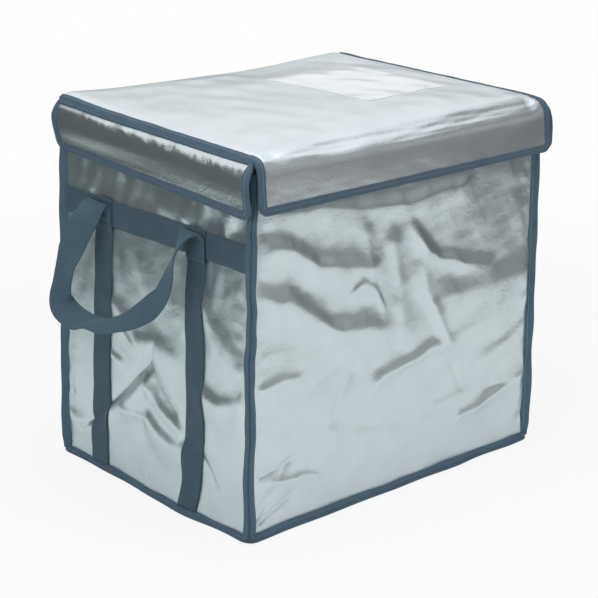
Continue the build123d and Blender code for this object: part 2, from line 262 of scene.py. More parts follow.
def ripples(s, z, at, size, slant, period, height):
    """Fine crumples in one spot: a sine wave of a period across a slanted direction, fading as exp(-r^2) from
    at."""
    turn = math.radians(slant)
    spot = np.exp(-(((s - at[0]) / size[0]) ** 2) - ((z - at[1]) / size[1]) ** 2)
    across = s * math.cos(turn) + z * math.sin(turn)
    return height * spot * np.sin(across * 2 * np.pi / period + 1.5 * np.sin((s - z) / 9.0))


def side_folds(s, z, seed):
    """A side laminate's form: the packing triangle with the folds round it, the slack above it up to the
    cross band, the gathered cloth under the lid and two sizes of soft waves."""
    out = folded(s, z, SIDE_ROLLS, [], SIDE_CREASES)
    for at, size, slant, period, height in SIDE_CRUMPLES:
        out = out + ripples(s, z, at, size, slant, period, height)
    gathers = 0.8 * np.sin(s / 7.4 + seed + 0.8 * np.sin(s / 31)) + 0.7 * rolling(s, z, 44, seed + 5)
    gathers = gathers + rolling(s, 0 * z, 25, seed + 6) * 1.1 * np.clip((z - 352) / 14, -1.2, 1.2)
    slack = 0.55 * rolling(s * 1.6, z * 0.7, 84, seed + 9) + 0.14 * rolling(s * 1.5, z, 30, seed + 2)
    out = out + gathers * ease(z, 318, 345) + slack * ease(z, 165, 210) * (1 - ease(z, 300, 325))
    return out + 0.20 * rolling(s, z, 44, seed + 1) + 0.045 * rolling(s, z, 16, seed + 3)


# %% [markdown]
# ### Folds of the back wall
#
# The back wall carries no strap. It ends 2 mm under the rear edge of the lid. It has long soft rolls, two
# pleats and few creases.

# %% The back wall's folds

BACK_ROLLS = [
    ([(-225, 262), (-150, 258), (-60, 236), (30, 240), (110, 262)], 4.6, 26, 15, 36, 1.8),
    ([(-40, 330), (40, 318), (130, 326), (225, 340)], 4.4, 28, 14, 34, 1.8),
    ([(-190, 132), (-120, 120), (-30, 128), (60, 110)], 3.2, 22, 14, 40),
    ([(90, 176), (150, 160), (228, 170)], 3.4, 20, 14, 30),
]
BACK_PLEATS = [
    ([(120, 60), (170, 66), (230, 74), (280, 70)], 3.6, 12, 16, 34, 1.8),
    ([(150, -40), (190, -34), (240, -38)], 3.0, 10, 14, 26, 1.8),
]
BACK_CREASES = [
    ((-205, 6), (-120, 90), -1.8, 6, 7),
    ((205, 6), (130, 84), -1.8, 7, 6),
    ((-212, 70), (-150, 82), -1.4, 4, 6),
]


def back_folds(s, z):
    """The back laminate's form: its folds and three sizes of soft waves."""
    out = folded(s, z, BACK_ROLLS, BACK_PLEATS, BACK_CREASES) + 0.24 * rolling(s, z, 52, 31)
    return out + 0.10 * rolling(s * 0.7, z, 26, 33) + 0.05 * rolling(s, z, 15, 32)


# %% [markdown]
# ### From a wall's plane to its place
#
# The seams hold the laminate at its edges, and the foam behind it stops a fold that goes in too far. So each
# wall's folds fade to nothing at its edges, and a valley deeper than the gap in front of the foam is pressed
# flat.

# %% Points on a wall

# Half the length of each wall
HALF_LENGTHS = {"front": half_width, "right": half_depth, "back": half_width, "left": half_depth}
foam_gap = 5.2


def give(wall, s, z):
    """How far a wall's laminate stands out: its folds, pressed flat past the foam's gap and eased to nothing
    where the seams hold it. The right wall has the left one's folds mirrored, stretched a little and
    moved."""
    if wall == "front":
        folds = front_folds(s, z)
    elif wall == "back":
        folds = back_folds(s, z)
    elif wall == "left":
        folds = side_folds(s, z, 11)
    else:
        folds = side_folds(-s * 0.96 + 4, z * 0.97 + 5, 23)
    half = HALF_LENGTHS[wall]
    # The thread draws the cloth up beside the corner seams
    folds = folds + 0.2 * rolling(s * 0.5, z, 17, 37) * np.exp(-(((half - 15 - np.abs(s)) / 8) ** 2))
    held = (1 - ease(np.abs(s), half - 16, half - 3)) * ease(z, 6, 20) * (1 - ease(z, 388, 406))
    return np.maximum(folds, -foam_gap + 0.12 * (folds + foam_gap)) * held


def wall_point(wall, s, z, out):
    """The place of (across, up, out) on a wall. Across runs to the right as someone facing the wall sees
    it."""
    s, z, out = np.broadcast_arrays(np.asarray(s, float), np.asarray(z, float), np.asarray(out, float))
    wide = 1 + lean_x(z) / half_width
    deep = 1 + lean_y(z) / half_depth
    if wall == "front":
        return np.stack([s * wide, -(half_depth * deep + out), z], -1)
    if wall == "back":
        return np.stack([-s * wide, half_depth * deep + out, z], -1)
    if wall == "left":
        return np.stack([-(half_width * wide + out + foot(s, z)), -s * deep, z], -1)
    return np.stack([half_width * wide + out, s * deep, z], -1)


# %% [markdown]
# ## From arrays to meshes
#
# Every surface is an array of rows and columns of points. One function joins neighbours into quads, closes
# the columns where the shape goes round, caps open ends, and writes UVs in metres along the cloth, so that a
# weave keeps its real size. A shape's signed volume, or a direction that it should face, says whether the
# faces must be turned.

# %% The mesh maker


def lengths(points, axis):
    """Distances along rows or columns of points, from 0, averaged over the other direction."""
    step = np.linalg.norm(np.diff(points, axis=axis), axis=-1).mean(axis=1 - axis)
    return np.concatenate([[0], np.cumsum(step)])


def surface(
    name,
    points,
    material,
    body,
    slot,
    round_columns=False,
    round_rows=False,
    capped=False,
    facing=None,
    smooth=True,
):
    """A mesh object from points[row, column] in millimetres, riding on a body. u runs along the rows, v
    across them."""
    rows, columns = points.shape[:2]
    grid = np.arange(rows * columns).reshape(rows, columns)
    down = np.roll(grid, -1, 0) if round_rows else grid[1:]
    top = grid if round_rows else grid[:-1]
    if round_columns:
        corners = [top, np.roll(top, -1, 1), np.roll(down, -1, 1), down]
    else:
        corners = [top[:, :-1], top[:, 1:], down[:, 1:], down[:, :-1]]
    quads = np.stack(corners, -1).reshape(-1, 4)
    closed = points if not round_rows else np.concatenate([points, points[:1]], 0)
    closed = closed if not round_columns else np.concatenate([closed, closed[:, :1]], 1)
    u, v = lengths(closed, 0), lengths(closed, 1)
    uu, vv = np.meshgrid(u, v, indexing="ij")
    uv = np.stack([uu, vv], -1)
    face_uv = np.stack([uv[:-1, :-1], uv[:-1, 1:], uv[1:, 1:], uv[1:, :-1]], -2).reshape(-1, 4, 2)
    faces, face_uvs = [quads], [face_uv]
    if capped:
        faces += [grid[:1, ::-1], grid[-1:]]
        face_uvs += [np.zeros((1, columns, 2)), np.zeros((1, columns, 2))]
    flat = points.reshape(-1, 3)
    a, b, c, d = (flat[quads[:, i]] for i in range(4))
    normal = np.cross(c - a, d - b)
    if facing is None:
        turned = (normal * (a + b + c + d)).sum() < 0
    else:
        turned = (normal @ np.array(facing, float)).sum() < 0
    if turned:
        faces = [f[:, ::-1] for f in faces]
        face_uvs = [f[:, ::-1] for f in face_uvs]
    mesh = bpy.data.meshes.new(name)
    mesh.vertices.add(len(flat))
    mesh.vertices.foreach_set("co", (flat * MM).ravel())
    loops = np.concatenate([f.ravel() for f in faces])
    sizes = np.concatenate([np.full(len(f), f.shape[1]) for f in faces])
    mesh.loops.add(len(loops))
    mesh.loops.foreach_set("vertex_index", loops.astype(np.int32))
    mesh.polygons.add(len(sizes))
    mesh.polygons.foreach_set("loop_start", np.concatenate([[0], np.cumsum(sizes)[:-1]]).astype(np.int32))
    mesh.update(calc_edges=True)
    layer = mesh.uv_layers.new(name="UVMap")
    layer.data.foreach_set("uv", (np.concatenate([f.reshape(-1, 2) for f in face_uvs]) * MM).ravel())
    mesh.polygons.foreach_set("use_smooth", np.full(len(sizes), smooth))
    mesh.validate()
    mesh.materials.append(material)
    obj = bpy.data.objects.new(name, mesh)
    bpy.context.scene.collection.objects.link(obj)
    if body:
        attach(obj, body)
    print(f"{name}: {len(flat)} points, {len(sizes)} faces")
    return obj


def carried(path, across, outward, section):
    """A section carried along a path: path + a * across + b * outward for each (a, b) of the section.

    The section is one (count, 2) array, or one for each place along the path.
    """
    section = np.broadcast_to(section, (len(path),) + np.shape(section)[-2:])
    return path[:, None] + section[..., :1] * across[:, None] + section[..., 1:] * outward[:, None]


def unit(vectors):
    """The vectors with their length made 1."""
    return vectors / np.linalg.norm(vectors, axis=-1, keepdims=True)


def spread(points, step, loop=False):
    """Points at even steps along a bent line, with its corners kept."""
    points = np.array(points, float)
    if loop:
        points = np.concatenate([points, points[:1]])
    run = np.concatenate([[0], np.cumsum(np.linalg.norm(np.diff(points, axis=0), axis=1))])
    count = max(2, int(round(run[-1] / step)) + 1)
    at = np.linspace(0, run[-1], count)
    even = np.stack([np.interp(at, run, points[:, i]) for i in range(points.shape[1])], -1)
    return even[:-1] if loop else even


# %% [markdown]
# ## Materials
#
# One function turns a written hex colour into the linear value that Blender mixes with, and one adds a node
# with its settings and links. Every finish is then a short list of nodes.

# %% Colour and node helpers


def linear(code):
    """An sRGB hex colour as linear red, green, blue and alpha."""
    part = [int(code[i : i + 2], 16) / 255 for i in (1, 3, 5)]
    return tuple(c / 12.92 if c <= 0.04045 else ((c + 0.055) / 1.055) ** 2.4 for c in part) + (1.0,)


def add(tree, kind, inputs=(), **settings):
    """A node of a kind, with its settings, and its inputs as values or as sockets to link from."""
    node = tree.nodes.new("ShaderNode" + kind)
    for key, value in settings.items():
        setattr(node, key, value)
    for key, value in dict(inputs).items():
        if isinstance(value, bpy.types.NodeSocket):
            tree.links.new(value, node.inputs[key])
        else:
            node.inputs[key].default_value = value
    return node


def finish(name, **inputs):
    """A new material of that name, with its tree and its Principled node set up."""
    material = bpy.data.materials.new(name)
    material.use_nodes = True
    tree = material.node_tree
    shader = tree.nodes["Principled BSDF"]
    for key, value in inputs.items():
        shader.inputs[key.replace("_", " ")].default_value = value
    return material, tree, shader


def threads(tree, period, direction, turn=0.0):
    """Bands across the UV map, one for each period in metres. The Wave node makes one band per 2 pi / 20
    units."""
    place = add(tree, "UVMap", uv_map="UVMap")
    mapping = add(tree, "Mapping", {"Vector": place.outputs["UV"], "Rotation": (0, 0, turn)})
    wave = add(
        tree,
        "TexWave",
        {"Vector": mapping.outputs["Vector"], "Scale": 2 * math.pi / 20 / period},
        wave_type="BANDS",
        bands_direction=direction,
    )
    return wave.outputs["Fac"]


# %% [markdown]
# ### Foil laminate
#
# The walls are a woven polyethylene cloth with aluminium foil pressed on it. The foil makes it a metal to the
# eye, but the cloth under it breaks the reflection up, so it is satin and not a mirror. Folding leaves a net
# of fine dents, which a ridged noise gives: it is high only where the noise crosses its middle value.

# %% Laminate


def laminate(name, dark, light, roughness, dents, seed):
    """A foil laminate: a metal with woven threads, soft dents of about 33 mm and hard ones of about 16 mm."""
    material, tree, shader = finish(name, Metallic=0.92, Roughness=roughness)
    place = add(tree, "TexCoord").outputs["Object"]
    moved = add(
        tree, "Mapping", {"Vector": place, "Location": (seed, seed * 0.7, seed * 1.3)}
    ).outputs["Vector"]
    soft = add(
        tree, "TexNoise", {"Vector": moved, "Scale": 30.0, "Detail": 3.0, "Roughness": 0.5}
    ).outputs["Fac"]
    hard = add(
        tree,
        "TexNoise",
        {"Vector": moved, "Scale": 62.0, "Detail": 4.0, "Roughness": 0.55, "Distortion": 0.6},
    ).outputs["Fac"]
    # A ridge is 1 where the hard noise crosses its middle value, and 0 from 1/14 off it
    offset = add(tree, "Math", {0: hard, 1: 0.5}, operation="SUBTRACT").outputs[0]
    distance = add(tree, "Math", {0: offset}, operation="ABSOLUTE").outputs[0]
    slope = add(tree, "Math", {0: distance, 1: 14.0}, operation="MULTIPLY", use_clamp=True).outputs[0]
    ridge = add(tree, "Math", {0: 1.0, 1: slope}, operation="SUBTRACT").outputs[0]
    # Threads are 0.8 mm apart on the real cloth; they are drawn twice as coarse, so that they show
    warp, weft = threads(tree, 0.0016, "X"), threads(tree, 0.0016, "Y")
    weave = add(tree, "Math", {0: warp, 1: weft}, operation="MULTIPLY").outputs[0]
    colour = add(tree, "Mix", {0: soft, 6: linear(dark), 7: linear(light)}, data_type="RGBA").outputs[2]
    tree.links.new(colour, shader.inputs["Base Color"])
    bump = add(tree, "Bump", {"Height": soft, "Distance": 0.0006 * dents, "Strength": 1.0})
    bump = add(
        tree,
        "Bump",
        {"Height": ridge, "Distance": 0.00008 * dents, "Strength": 1.0, "Normal": bump.outputs[0]},
    )
    bump = add(
        tree, "Bump", {"Height": weave, "Distance": 0.00009, "Strength": 0.7, "Normal": bump.outputs[0]}
    )
    tree.links.new(bump.outputs[0], shader.inputs["Normal"])
    return material


wall_foil = laminate("foil_laminate_wall", "#cfdce0", "#dce8ea", 0.30, 1.0, 1.0)
# The flaps' copy of the laminate is set a little darker than the walls': painted shade, not a different
# cloth.
shaded_flap_foil = laminate("foil_laminate_flap_painted_shade", "#ccd6d9", "#d8e0e3", 0.22, 0.8, 4.0)
lid_foil = laminate("foil_laminate_lid", "#d2dce1", "#e0e8ec", 0.31, 0.7, 7.0)
lining_film = laminate("aluminised_lining_film", "#ccd4d8", "#e2e8ea", 0.24, 1.3, 9.0)

# %% [markdown]
# ### Binding tape
#
# The seam tape is a woven polyester ribbon, folded along its middle and sewn through with one row of
# stitches. Its UVs run along it in u and round it in v, so ribs and stitches are bands in those two
# directions.

# %% Tape and webbing


def binding(name, dark, light, stitch_at):
    """Folded tape: fine ribs across it and a row of stitches at a distance round its section, in metres."""
    material, tree, shader = finish(name, Roughness=0.72, Sheen_Weight=0.25, Sheen_Roughness=0.4)
    shader.inputs["Sheen Tint"].default_value = linear("#9fb6c4")
    place = add(tree, "TexCoord").outputs["Object"]
    cloudy = add(
        tree, "TexNoise", {"Vector": place, "Scale": 55.0, "Detail": 5.0, "Roughness": 0.6}
    ).outputs["Fac"]
    ribs = threads(tree, 0.0013, "X")
    cords = threads(tree, 0.0018, "Y")
    uv = add(tree, "SeparateXYZ", {0: add(tree, "UVMap", uv_map="UVMap").outputs["UV"]})
    # Stitches are 3.4 mm apart and 0.84 mm wide, and each shows for 0.72 of its length
    near = add(tree, "Math", {0: uv.outputs[1], 1: stitch_at, 2: 0.00042}, operation="COMPARE").outputs[0]
    count = add(tree, "Math", {0: uv.outputs[0], 1: 1 / 0.0034}, operation="MULTIPLY").outputs[0]
    part = add(tree, "Math", {0: count}, operation="FRACT").outputs[0]
    dash = add(tree, "Math", {0: part, 1: 0.72}, operation="LESS_THAN").outputs[0]
    stitch = add(tree, "Math", {0: near, 1: dash}, operation="MULTIPLY").outputs[0]
    # The cloth's colour goes by patches of wear and by the ribs, and the thread is half mixed over it
    worn = add(tree, "Math", {0: cloudy, 1: 0.75}, operation="MULTIPLY").outputs[0]
    shade = add(
        tree, "Math", {0: ribs, 1: 0.22, 2: worn}, operation="MULTIPLY_ADD", use_clamp=True
    ).outputs[0]
    cloth = add(tree, "Mix", {0: shade, 6: linear(dark), 7: linear(light)}, data_type="RGBA").outputs[2]
    over = add(tree, "Math", {0: stitch, 1: 0.55}, operation="MULTIPLY").outputs[0]
    colour = add(tree, "Mix", {0: over, 6: cloth, 7: linear("#7f96a3")}, data_type="RGBA").outputs[2]
    tree.links.new(colour, shader.inputs["Base Color"])
    # The line of stitches is drawn in, each stitch stands up out of it, and ribs and cords add their relief
    drawn = add(tree, "Math", {0: near, 1: -1.6}, operation="MULTIPLY").outputs[0]
    sewn = add(tree, "Math", {0: stitch, 1: 2.2, 2: drawn}, operation="MULTIPLY_ADD").outputs[0]
    ribbed = add(tree, "Math", {0: ribs, 1: 0.7, 2: sewn}, operation="MULTIPLY_ADD").outputs[0]
    height = add(tree, "Math", {0: cords, 1: 0.35, 2: ribbed}, operation="MULTIPLY_ADD").outputs[0]
    bump = add(tree, "Bump", {"Height": height, "Distance": 0.00016, "Strength": 0.8})
    tree.links.new(bump.outputs[0], shader.inputs["Normal"])
    return material


def webbing(name, dark, light):
    """Twill webbing: slanted ribs 2 mm apart, finer ones across them and a slight wear in patches."""
    material, tree, shader = finish(name, Roughness=0.68, Sheen_Weight=0.3, Sheen_Roughness=0.35)
    shader.inputs["Sheen Tint"].default_value = linear("#a6bccb")
    place = add(tree, "TexCoord").outputs["Object"]
    cloudy = add(tree, "TexNoise", {"Vector": place, "Scale": 38.0, "Detail": 4.0}).outputs["Fac"]
    twill = threads(tree, 0.0021, "X", math.radians(38))
    cross = threads(tree, 0.0012, "X", math.radians(-52))
    worn = add(tree, "Math", {0: cloudy, 1: 0.55}, operation="MULTIPLY").outputs[0]
    shade = add(
        tree, "Math", {0: twill, 1: 0.42, 2: worn}, operation="MULTIPLY_ADD", use_clamp=True
    ).outputs[0]
    colour = add(tree, "Mix", {0: shade, 6: linear(dark), 7: linear(light)}, data_type="RGBA").outputs[2]
    tree.links.new(colour, shader.inputs["Base Color"])
    height = add(tree, "Math", {0: cross, 1: 0.35, 2: twill}, operation="MULTIPLY_ADD").outputs[0]
    bump = add(tree, "Bump", {"Height": height, "Distance": 0.0003, "Strength": 0.8})
    tree.links.new(bump.outputs[0], shader.inputs["Normal"])
    return material


seam_tape = binding("polyester_binding_tape", "#32495a", "#4d6b7a", 0.0046)
edge_tape = binding("polyester_edge_tape", "#31475a", "#4a6474", 0.0046)
strap_webbing = webbing("polyester_strap_webbing", "#2c424e", "#455f6d")
handle_webbing = webbing("polyester_handle_webbing", "#2d4653", "#466372")

# %% [markdown]
# ### Foam, closure tapes and the blank sheet
#
# The foam is closed inside the walls. The closure tapes are nylon: one carries stiff hooks and one a mat of
# soft loops, and both are dull and deep. The sheet on the lid is a milky film with nothing on it.

# %% Small finishes


def pile(name, dark, light, spacing, height, roughness):
    """A mat of hooks or loops: cells at a spacing in metres, raised at their middles, with painted shade at
    their low borders.
    """
    material, tree, shader = finish(name, Roughness=roughness)
    place = add(tree, "TexCoord").outputs["Object"]
    cells = add(tree, "TexVoronoi", {"Vector": place, "Scale": 1 / spacing}).outputs["Distance"]
    # The cells' low borders take the dark colour: painted shade in the hollows between the hooks or loops.
    colour = add(tree, "Mix", {0: cells, 6: linear(light), 7: linear(dark)}, data_type="RGBA").outputs[2]
    tree.links.new(colour, shader.inputs["Base Color"])
    bump = add(tree, "Bump", {"Height": cells, "Distance": height, "Strength": 0.9}, invert=True)
    tree.links.new(bump.outputs[0], shader.inputs["Normal"])
    return material


hook_pile = pile("nylon_hook_tape", "#20282e", "#3a464e", 0.0016, 0.0006, 0.55)
loop_pile = pile("nylon_loop_tape", "#262f36", "#424f58", 0.0011, 0.0004, 0.9)
foam_sheet = pile("polyethylene_foam", "#d9dcdc", "#f0f2f2", 0.002, 0.0002, 0.8)

label_film, label_tree, label_shader = finish("milky_pvc_film", Roughness=0.3, IOR=1.5, Coat_Weight=0.25)
label_place = add(label_tree, "TexCoord").outputs["Object"]
label_cloud = add(
    label_tree, "TexNoise", {"Vector": label_place, "Scale": 42.0, "Detail": 4.0}
).outputs["Fac"]
label_milk = {0: label_cloud, 6: linear("#dde3e7"), 7: linear("#eff2f4")}
label_colour = add(label_tree, "Mix", label_milk, data_type="RGBA").outputs[2]
label_tree.links.new(label_colour, label_shader.inputs["Base Color"])
label_bump = add(label_tree, "Bump", {"Height": label_cloud, "Distance": 0.0008, "Strength": 0.7})
label_tree.links.new(label_bump.outputs[0], label_shader.inputs["Normal"])

# %% [markdown]
# ## Walls
#
# Each wall is a grid of points about 2 mm apart on its wall's plane, moved out by give(). The laminate's
# lower edge ends inside the floor tape and its upper edge inside the mouth tape.

# %% Wall laminate


def wall_sheet(wall, top):
    """A wall's laminate from the floor seam up to top."""
    half = HALF_LENGTHS[wall]
    s = np.linspace(-half, half, int(half) + 1)
    z = np.linspace(4.0, top, int(top / 2.2))
    zz, ss = np.meshgrid(z, s, indexing="ij")
    points = wall_point(wall, ss, zz, give(wall, ss, zz))
    facing = {"front": (0, -1, 0), "back": (0, 1, 0), "left": (-1, 0, 0), "right": (1, 0, 0)}[wall]
    obj = surface(f"{wall}_laminate", points, wall_foil, "body", "foil_laminate", facing=facing)
    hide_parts(f"{wall}_skin")
    return obj


for wall in ("front", "right", "left"):
    wall_sheet(wall, mouth_height)
wall_sheet("back", 420.0)

# %% [markdown]
# ## Foam boards, floor and lining
#
# The boards are plain closed forms that lean with the walls. They are never seen, but they keep the walls'
# thickness when the lid is open. The lining is a bag of film that follows them on the inside.

# %% Boards


BOARD_FORM = {"round_columns": True, "capped": True, "smooth": False}


def board(name, node, wall, half, inner, outer, low, high):
    """A foam board on a wall: a closed form between two distances in from the laminate."""
    s = np.linspace(-half, half, 7)
    z = np.linspace(low, high, 9)
    zz, ss = np.meshgrid(z, s, indexing="ij")
    outside = wall_point(wall, ss, zz, -outer)
    inside = wall_point(wall, ss, zz, -inner)[:, ::-1]
    points = np.concatenate([outside, inside], 1)
    obj = surface(name, points, foam_sheet, "body", "insulation_foam", **BOARD_FORM)
    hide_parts(node)


for wall, half in (("front", 218.0), ("back", 218.0), ("left", 155.5), ("right", 155.5)):
    board(f"{wall}_board", f"{wall}_foam", wall, half, 11.0, 7.5, 1.2, 411.5)

# %% [markdown]
# ### The lining
#
# The lining is a bag sewn from film, a little slack, so it waves between the seams. Rings of points follow
# each other from near the middle of the floor outward and then up the walls. The first ring, 8 mm wide, stays
# open. A ring is a superellipse, |x / a|^24 + |y / b|^24 = 1, which is a rectangle with small round corners.

# %% The lining bag


def lining_ring(z, inset):
    """A ring of points round the inside at a height, inset from the walls, with rounded corners."""
    x, y = half_width - inset + lean_x(z), half_depth - inset + lean_y(z)
    turn = np.linspace(0, 2 * np.pi, 360, endpoint=False) + np.pi / 360
    power = 24.0
    reach = (np.abs(np.cos(turn) / x) ** power + np.abs(np.sin(turn) / y) ** power) ** (-1 / power)
    wave = 0.7 * rolling(turn * 200, z * np.ones_like(turn), 46, 51) * ease(z, 14, 40)
    wave = wave * (1 - ease(z, 380, 400))
    reach = reach - 0.5 - 0.6 * (1 + wave)
    return np.stack([reach * np.cos(turn), reach * np.sin(turn), np.full_like(turn, z)], -1)


floor_share = np.linspace(0.02, 0.985, 26)
bag_floor = [lining_ring(12.6, 12.0) * [share, share, 1] + [0, 0, 0.5 * (1 - share)] for share in floor_share]
bag_side = [lining_ring(z, 12.0) for z in np.linspace(13.5, 411.5, 150)]
lining_bag = surface(
    "lining_bag", np.stack(bag_floor + bag_side), lining_film, "body", "inner_lining", round_columns=True
)
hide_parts("inner_liner")

# %% [markdown]
# ### The floor
#
# The floor is a panel of the same laminate with a board on it. It lies on the ground, so its waves are a few
# tenths of a millimetre high and only upward.

# %% The floor

floor_steps = np.linspace(-1, 1, 40)
floor_across, floor_along = np.meshgrid(floor_steps, floor_steps, indexing="ij")
floor_rise = 0.25 + 0.2 * np.abs(rolling(floor_across * 214, floor_along * 165, 60, 61))
floor_points = np.stack([floor_across * 221.0, floor_along * 164.8, floor_rise], -1)
floor_laminate = surface(
    "floor_laminate", floor_points, wall_foil, "body", "foil_laminate", facing=(0, 0, -1)
)
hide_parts("bottom_skin")
board_under = np.stack([floor_across * 209, floor_along * 154, np.full_like(floor_across, 1.2)], -1)
board_over = board_under[:, ::-1] + [0, 0, 10.4]
board_points = np.concatenate([board_under, board_over], 1)
floor_board = surface("floor_board", board_points, foam_sheet, "body", "insulation_foam", **BOARD_FORM)
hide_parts("bottom_foam")

# %% [markdown]
# ## Corner seams
#
# At each upright corner the edges of two walls stand out together, and the tape is folded over both. Sewing
# pulls it down along the middle, so the bound seam reads as two soft ridges with a groove between them. Its
# section is drawn once, and its size and its place wander a little along the seam.

# %% Corner seam tapes

ridge_section = np.array(
    [
        (-6.4, -7.6), (-6.3, -5.0), (-6.0, -2.0), (-5.6, 1.0), (-5.0, 3.4), (-3.9, 4.9), (-2.5, 5.4),
        (-1.0, 5.2), (0.1, 4.6), (0.6, 3.5), (1.1, 4.7), (2.2, 5.4), (3.5, 5.2), (4.7, 4.2), (5.4, 2.2),
        (5.8, -0.6), (6.1, -3.6), (6.4, -7.6), (0.0, -8.6),
    ]
)


def corner_seam(name, hand_x, hand_y, seed):
    """The bound seam up one corner, its section square to the diagonal of the corner."""
    z = np.linspace(6.0, 405.0, 190)
    corner = np.stack([hand_x * (half_width + lean_x(z)), hand_y * (half_depth + lean_y(z)), z], -1)
    outward = np.array([hand_x, hand_y, 0.0]) / math.sqrt(2)
    across = np.cross([0, 0, 1.0], outward)
    wander = 0.55 * rolling(z, 0 * z, 90, seed) + 0.25 * rolling(z, 0 * z, 33, seed + 1)
    # At its foot a corner is tucked in, but not the one beside the place where the left wall is pushed out
    tucked = 0.0 if name == "front_left" else 2.4
    path = corner + wander[:, None] * across - (tucked * (1 - ease(z, 6, 24)))[:, None] * outward
    width = (
        0.92 + 0.07 * rolling(z, 0 * z, 70, seed + 2) - 0.34 * ease(z, 355, 385) + 0.10 * (1 - ease(z, 8, 60))
    )
    height = 0.94 + 0.08 * rolling(z, 0 * z, 55, seed + 3) - 0.10 * ease(z, 355, 385)
    section = ridge_section[None] * np.stack([width, height], -1)[:, None]
    # Below -3 the tape lies along the walls, so there its depth goes with its width
    along_wall = ridge_section[None, :, 1] * width[:, None]
    section[..., 1] = np.where(ridge_section[None, :, 1] < -3, along_wall, section[..., 1])
    points = carried(path, across + 0 * path, outward + 0 * path, section)
    obj = surface(
        f"corner_seam_{name}", points, seam_tape, "body", "binding_tape", round_columns=True, capped=True
    )
    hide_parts(f"corner_binding_{name}")


CORNERS = {"front_left": (-1, -1), "front_right": (1, -1), "rear_left": (-1, 1), "rear_right": (1, 1)}
for number, (name, (hand_x, hand_y)) in enumerate(CORNERS.items()):
    corner_seam(name, hand_x, hand_y, 70 + 7 * number)

# %% [markdown]
# ## Floor seam
#
# The floor's tape goes once round the box. It stands out like a rim, and the box's weight rolls it under in
# places, most of all along the short sides.

# %% The floor seam's tape


def rounded(x, y, radius, count):
    """A rectangle of half sizes x and y with round corners, each an arc of count points, anticlockwise."""
    quarter = np.linspace(0, np.pi / 2, count)
    arcs = []
    for number, (hand_x, hand_y) in enumerate(((1, 1), (-1, 1), (-1, -1), (1, -1))):
        turn = quarter + number * np.pi / 2
        middle = np.array([hand_x * (x - radius), hand_y * (y - radius)])
        arcs.append(middle + radius * np.stack([np.cos(turn), np.sin(turn)], -1))
    return np.concatenate(arcs)


def round_the_box(radius, step):
    """A rounded rectangle round the foot of the box, and its outward directions in plan."""
    x, y = half_width + lean_x(0.0), half_depth + lean_y(0.0)
    ring = spread(rounded(x, y, radius, 9), step, True)
    ring[:, 0] = ring[:, 0] - np.where(ring[:, 0] < -x + radius, foot(-ring[:, 1], 0.0), 0)
    along = np.roll(ring, -1, 0) - np.roll(ring, 1, 0)
    outward = unit(np.stack([along[:, 1], -along[:, 0]], -1))
    return ring, outward


floor_ring, floor_out = round_the_box(8.0, 3.0)
floor_section = np.array(
    [
        (-2.5, 0.3), (1.0, 0.15), (3.8, 0.2), (4.9, 1.0), (5.3, 2.4), (5.2, 3.8), (4.9, 4.7), (4.2, 5.1),
        (4.9, 5.6), (5.2, 6.6), (5.0, 8.2), (4.2, 9.4), (2.6, 10.2), (0.6, 10.5), (-2.5, 10.4),
    ]
)
sideways = ease(np.abs(floor_out[:, 0]), 0.5, 0.9)
floor_wander = rolling(floor_ring[:, 0], floor_ring[:, 1], 60, 90)
floor_height = 0.86 + 0.05 * floor_wander - 0.10 * sideways
floor_reach = 0.96 + 0.10 * rolling(floor_ring[:, 0], floor_ring[:, 1], 75, 91) - 0.22 * sideways
floor_sections = floor_section[None] * np.stack([floor_reach, floor_height], -1)[:, None]
floor_path = np.concatenate([floor_ring, np.zeros((len(floor_ring), 1))], 1)
floor_outward = np.concatenate([floor_out, np.zeros((len(floor_out), 1))], 1)
seam_points = carried(floor_path, floor_outward, [0, 0, 1.0] + 0 * floor_path, floor_sections)
floor_seam = surface(
    "floor_seam", seam_points, seam_tape, "body", "binding_tape", round_columns=True, round_rows=True
)
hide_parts("bottom_binding")

# %% [markdown]
# ## Mouth tape
#
# A tape is folded over the walls' upper edge, 10 mm down each side, and hides the foam between laminate and
# lining.

# %% The mouth's tape

mouth_half = (half_width + lean_x(408.0), half_depth + lean_y(408.0))


def mouth_ring(inset, z):
    """A rounded rectangle at the mouth, inset from the laminate's face, with points all along its sides."""
    radius = max(1.5, 4.0 - inset * 0.2)
    ring = rounded(mouth_half[0] - inset, mouth_half[1] - inset, radius, 6)
    pieces = []
    for point, following in zip(ring, np.roll(ring, -1, 0)):
        count = 24 if np.linalg.norm(following - point) > 30 else 1
        share = np.linspace(0, 1, count, endpoint=False)[:, None]
        pieces.append(point + (following - point) * share)
    ring = np.concatenate(pieces)
    return np.concatenate([ring, np.full((len(ring), 1), z)], 1)


mouth_profile = [
    (-0.9, 402.5), (-1.1, 404.5), (-1.1, 410.4), (-0.2, 412.2), (2.0, 412.9), (6.5, 413.0), (11.0, 412.9),
    (13.2, 412.0), (14.0, 410.0), (14.0, 403.5), (13.6, 402.5),
]
mouth_points = np.stack([mouth_ring(inset, z) for inset, z in mouth_profile], 1)
mouth_tape = surface("mouth_tape", mouth_points, edge_tape, "body", "binding_tape", round_rows=True)
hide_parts("rim_binding")

# %% [markdown]
# ## Straps and cross bands
#
# The webbing is sewn flat on the side walls, so it dips and turns with their folds. Each strip is a closed
# band: its outer face from edge to edge, a rounded edge, and its inner face back.

# %% Sewn webbing


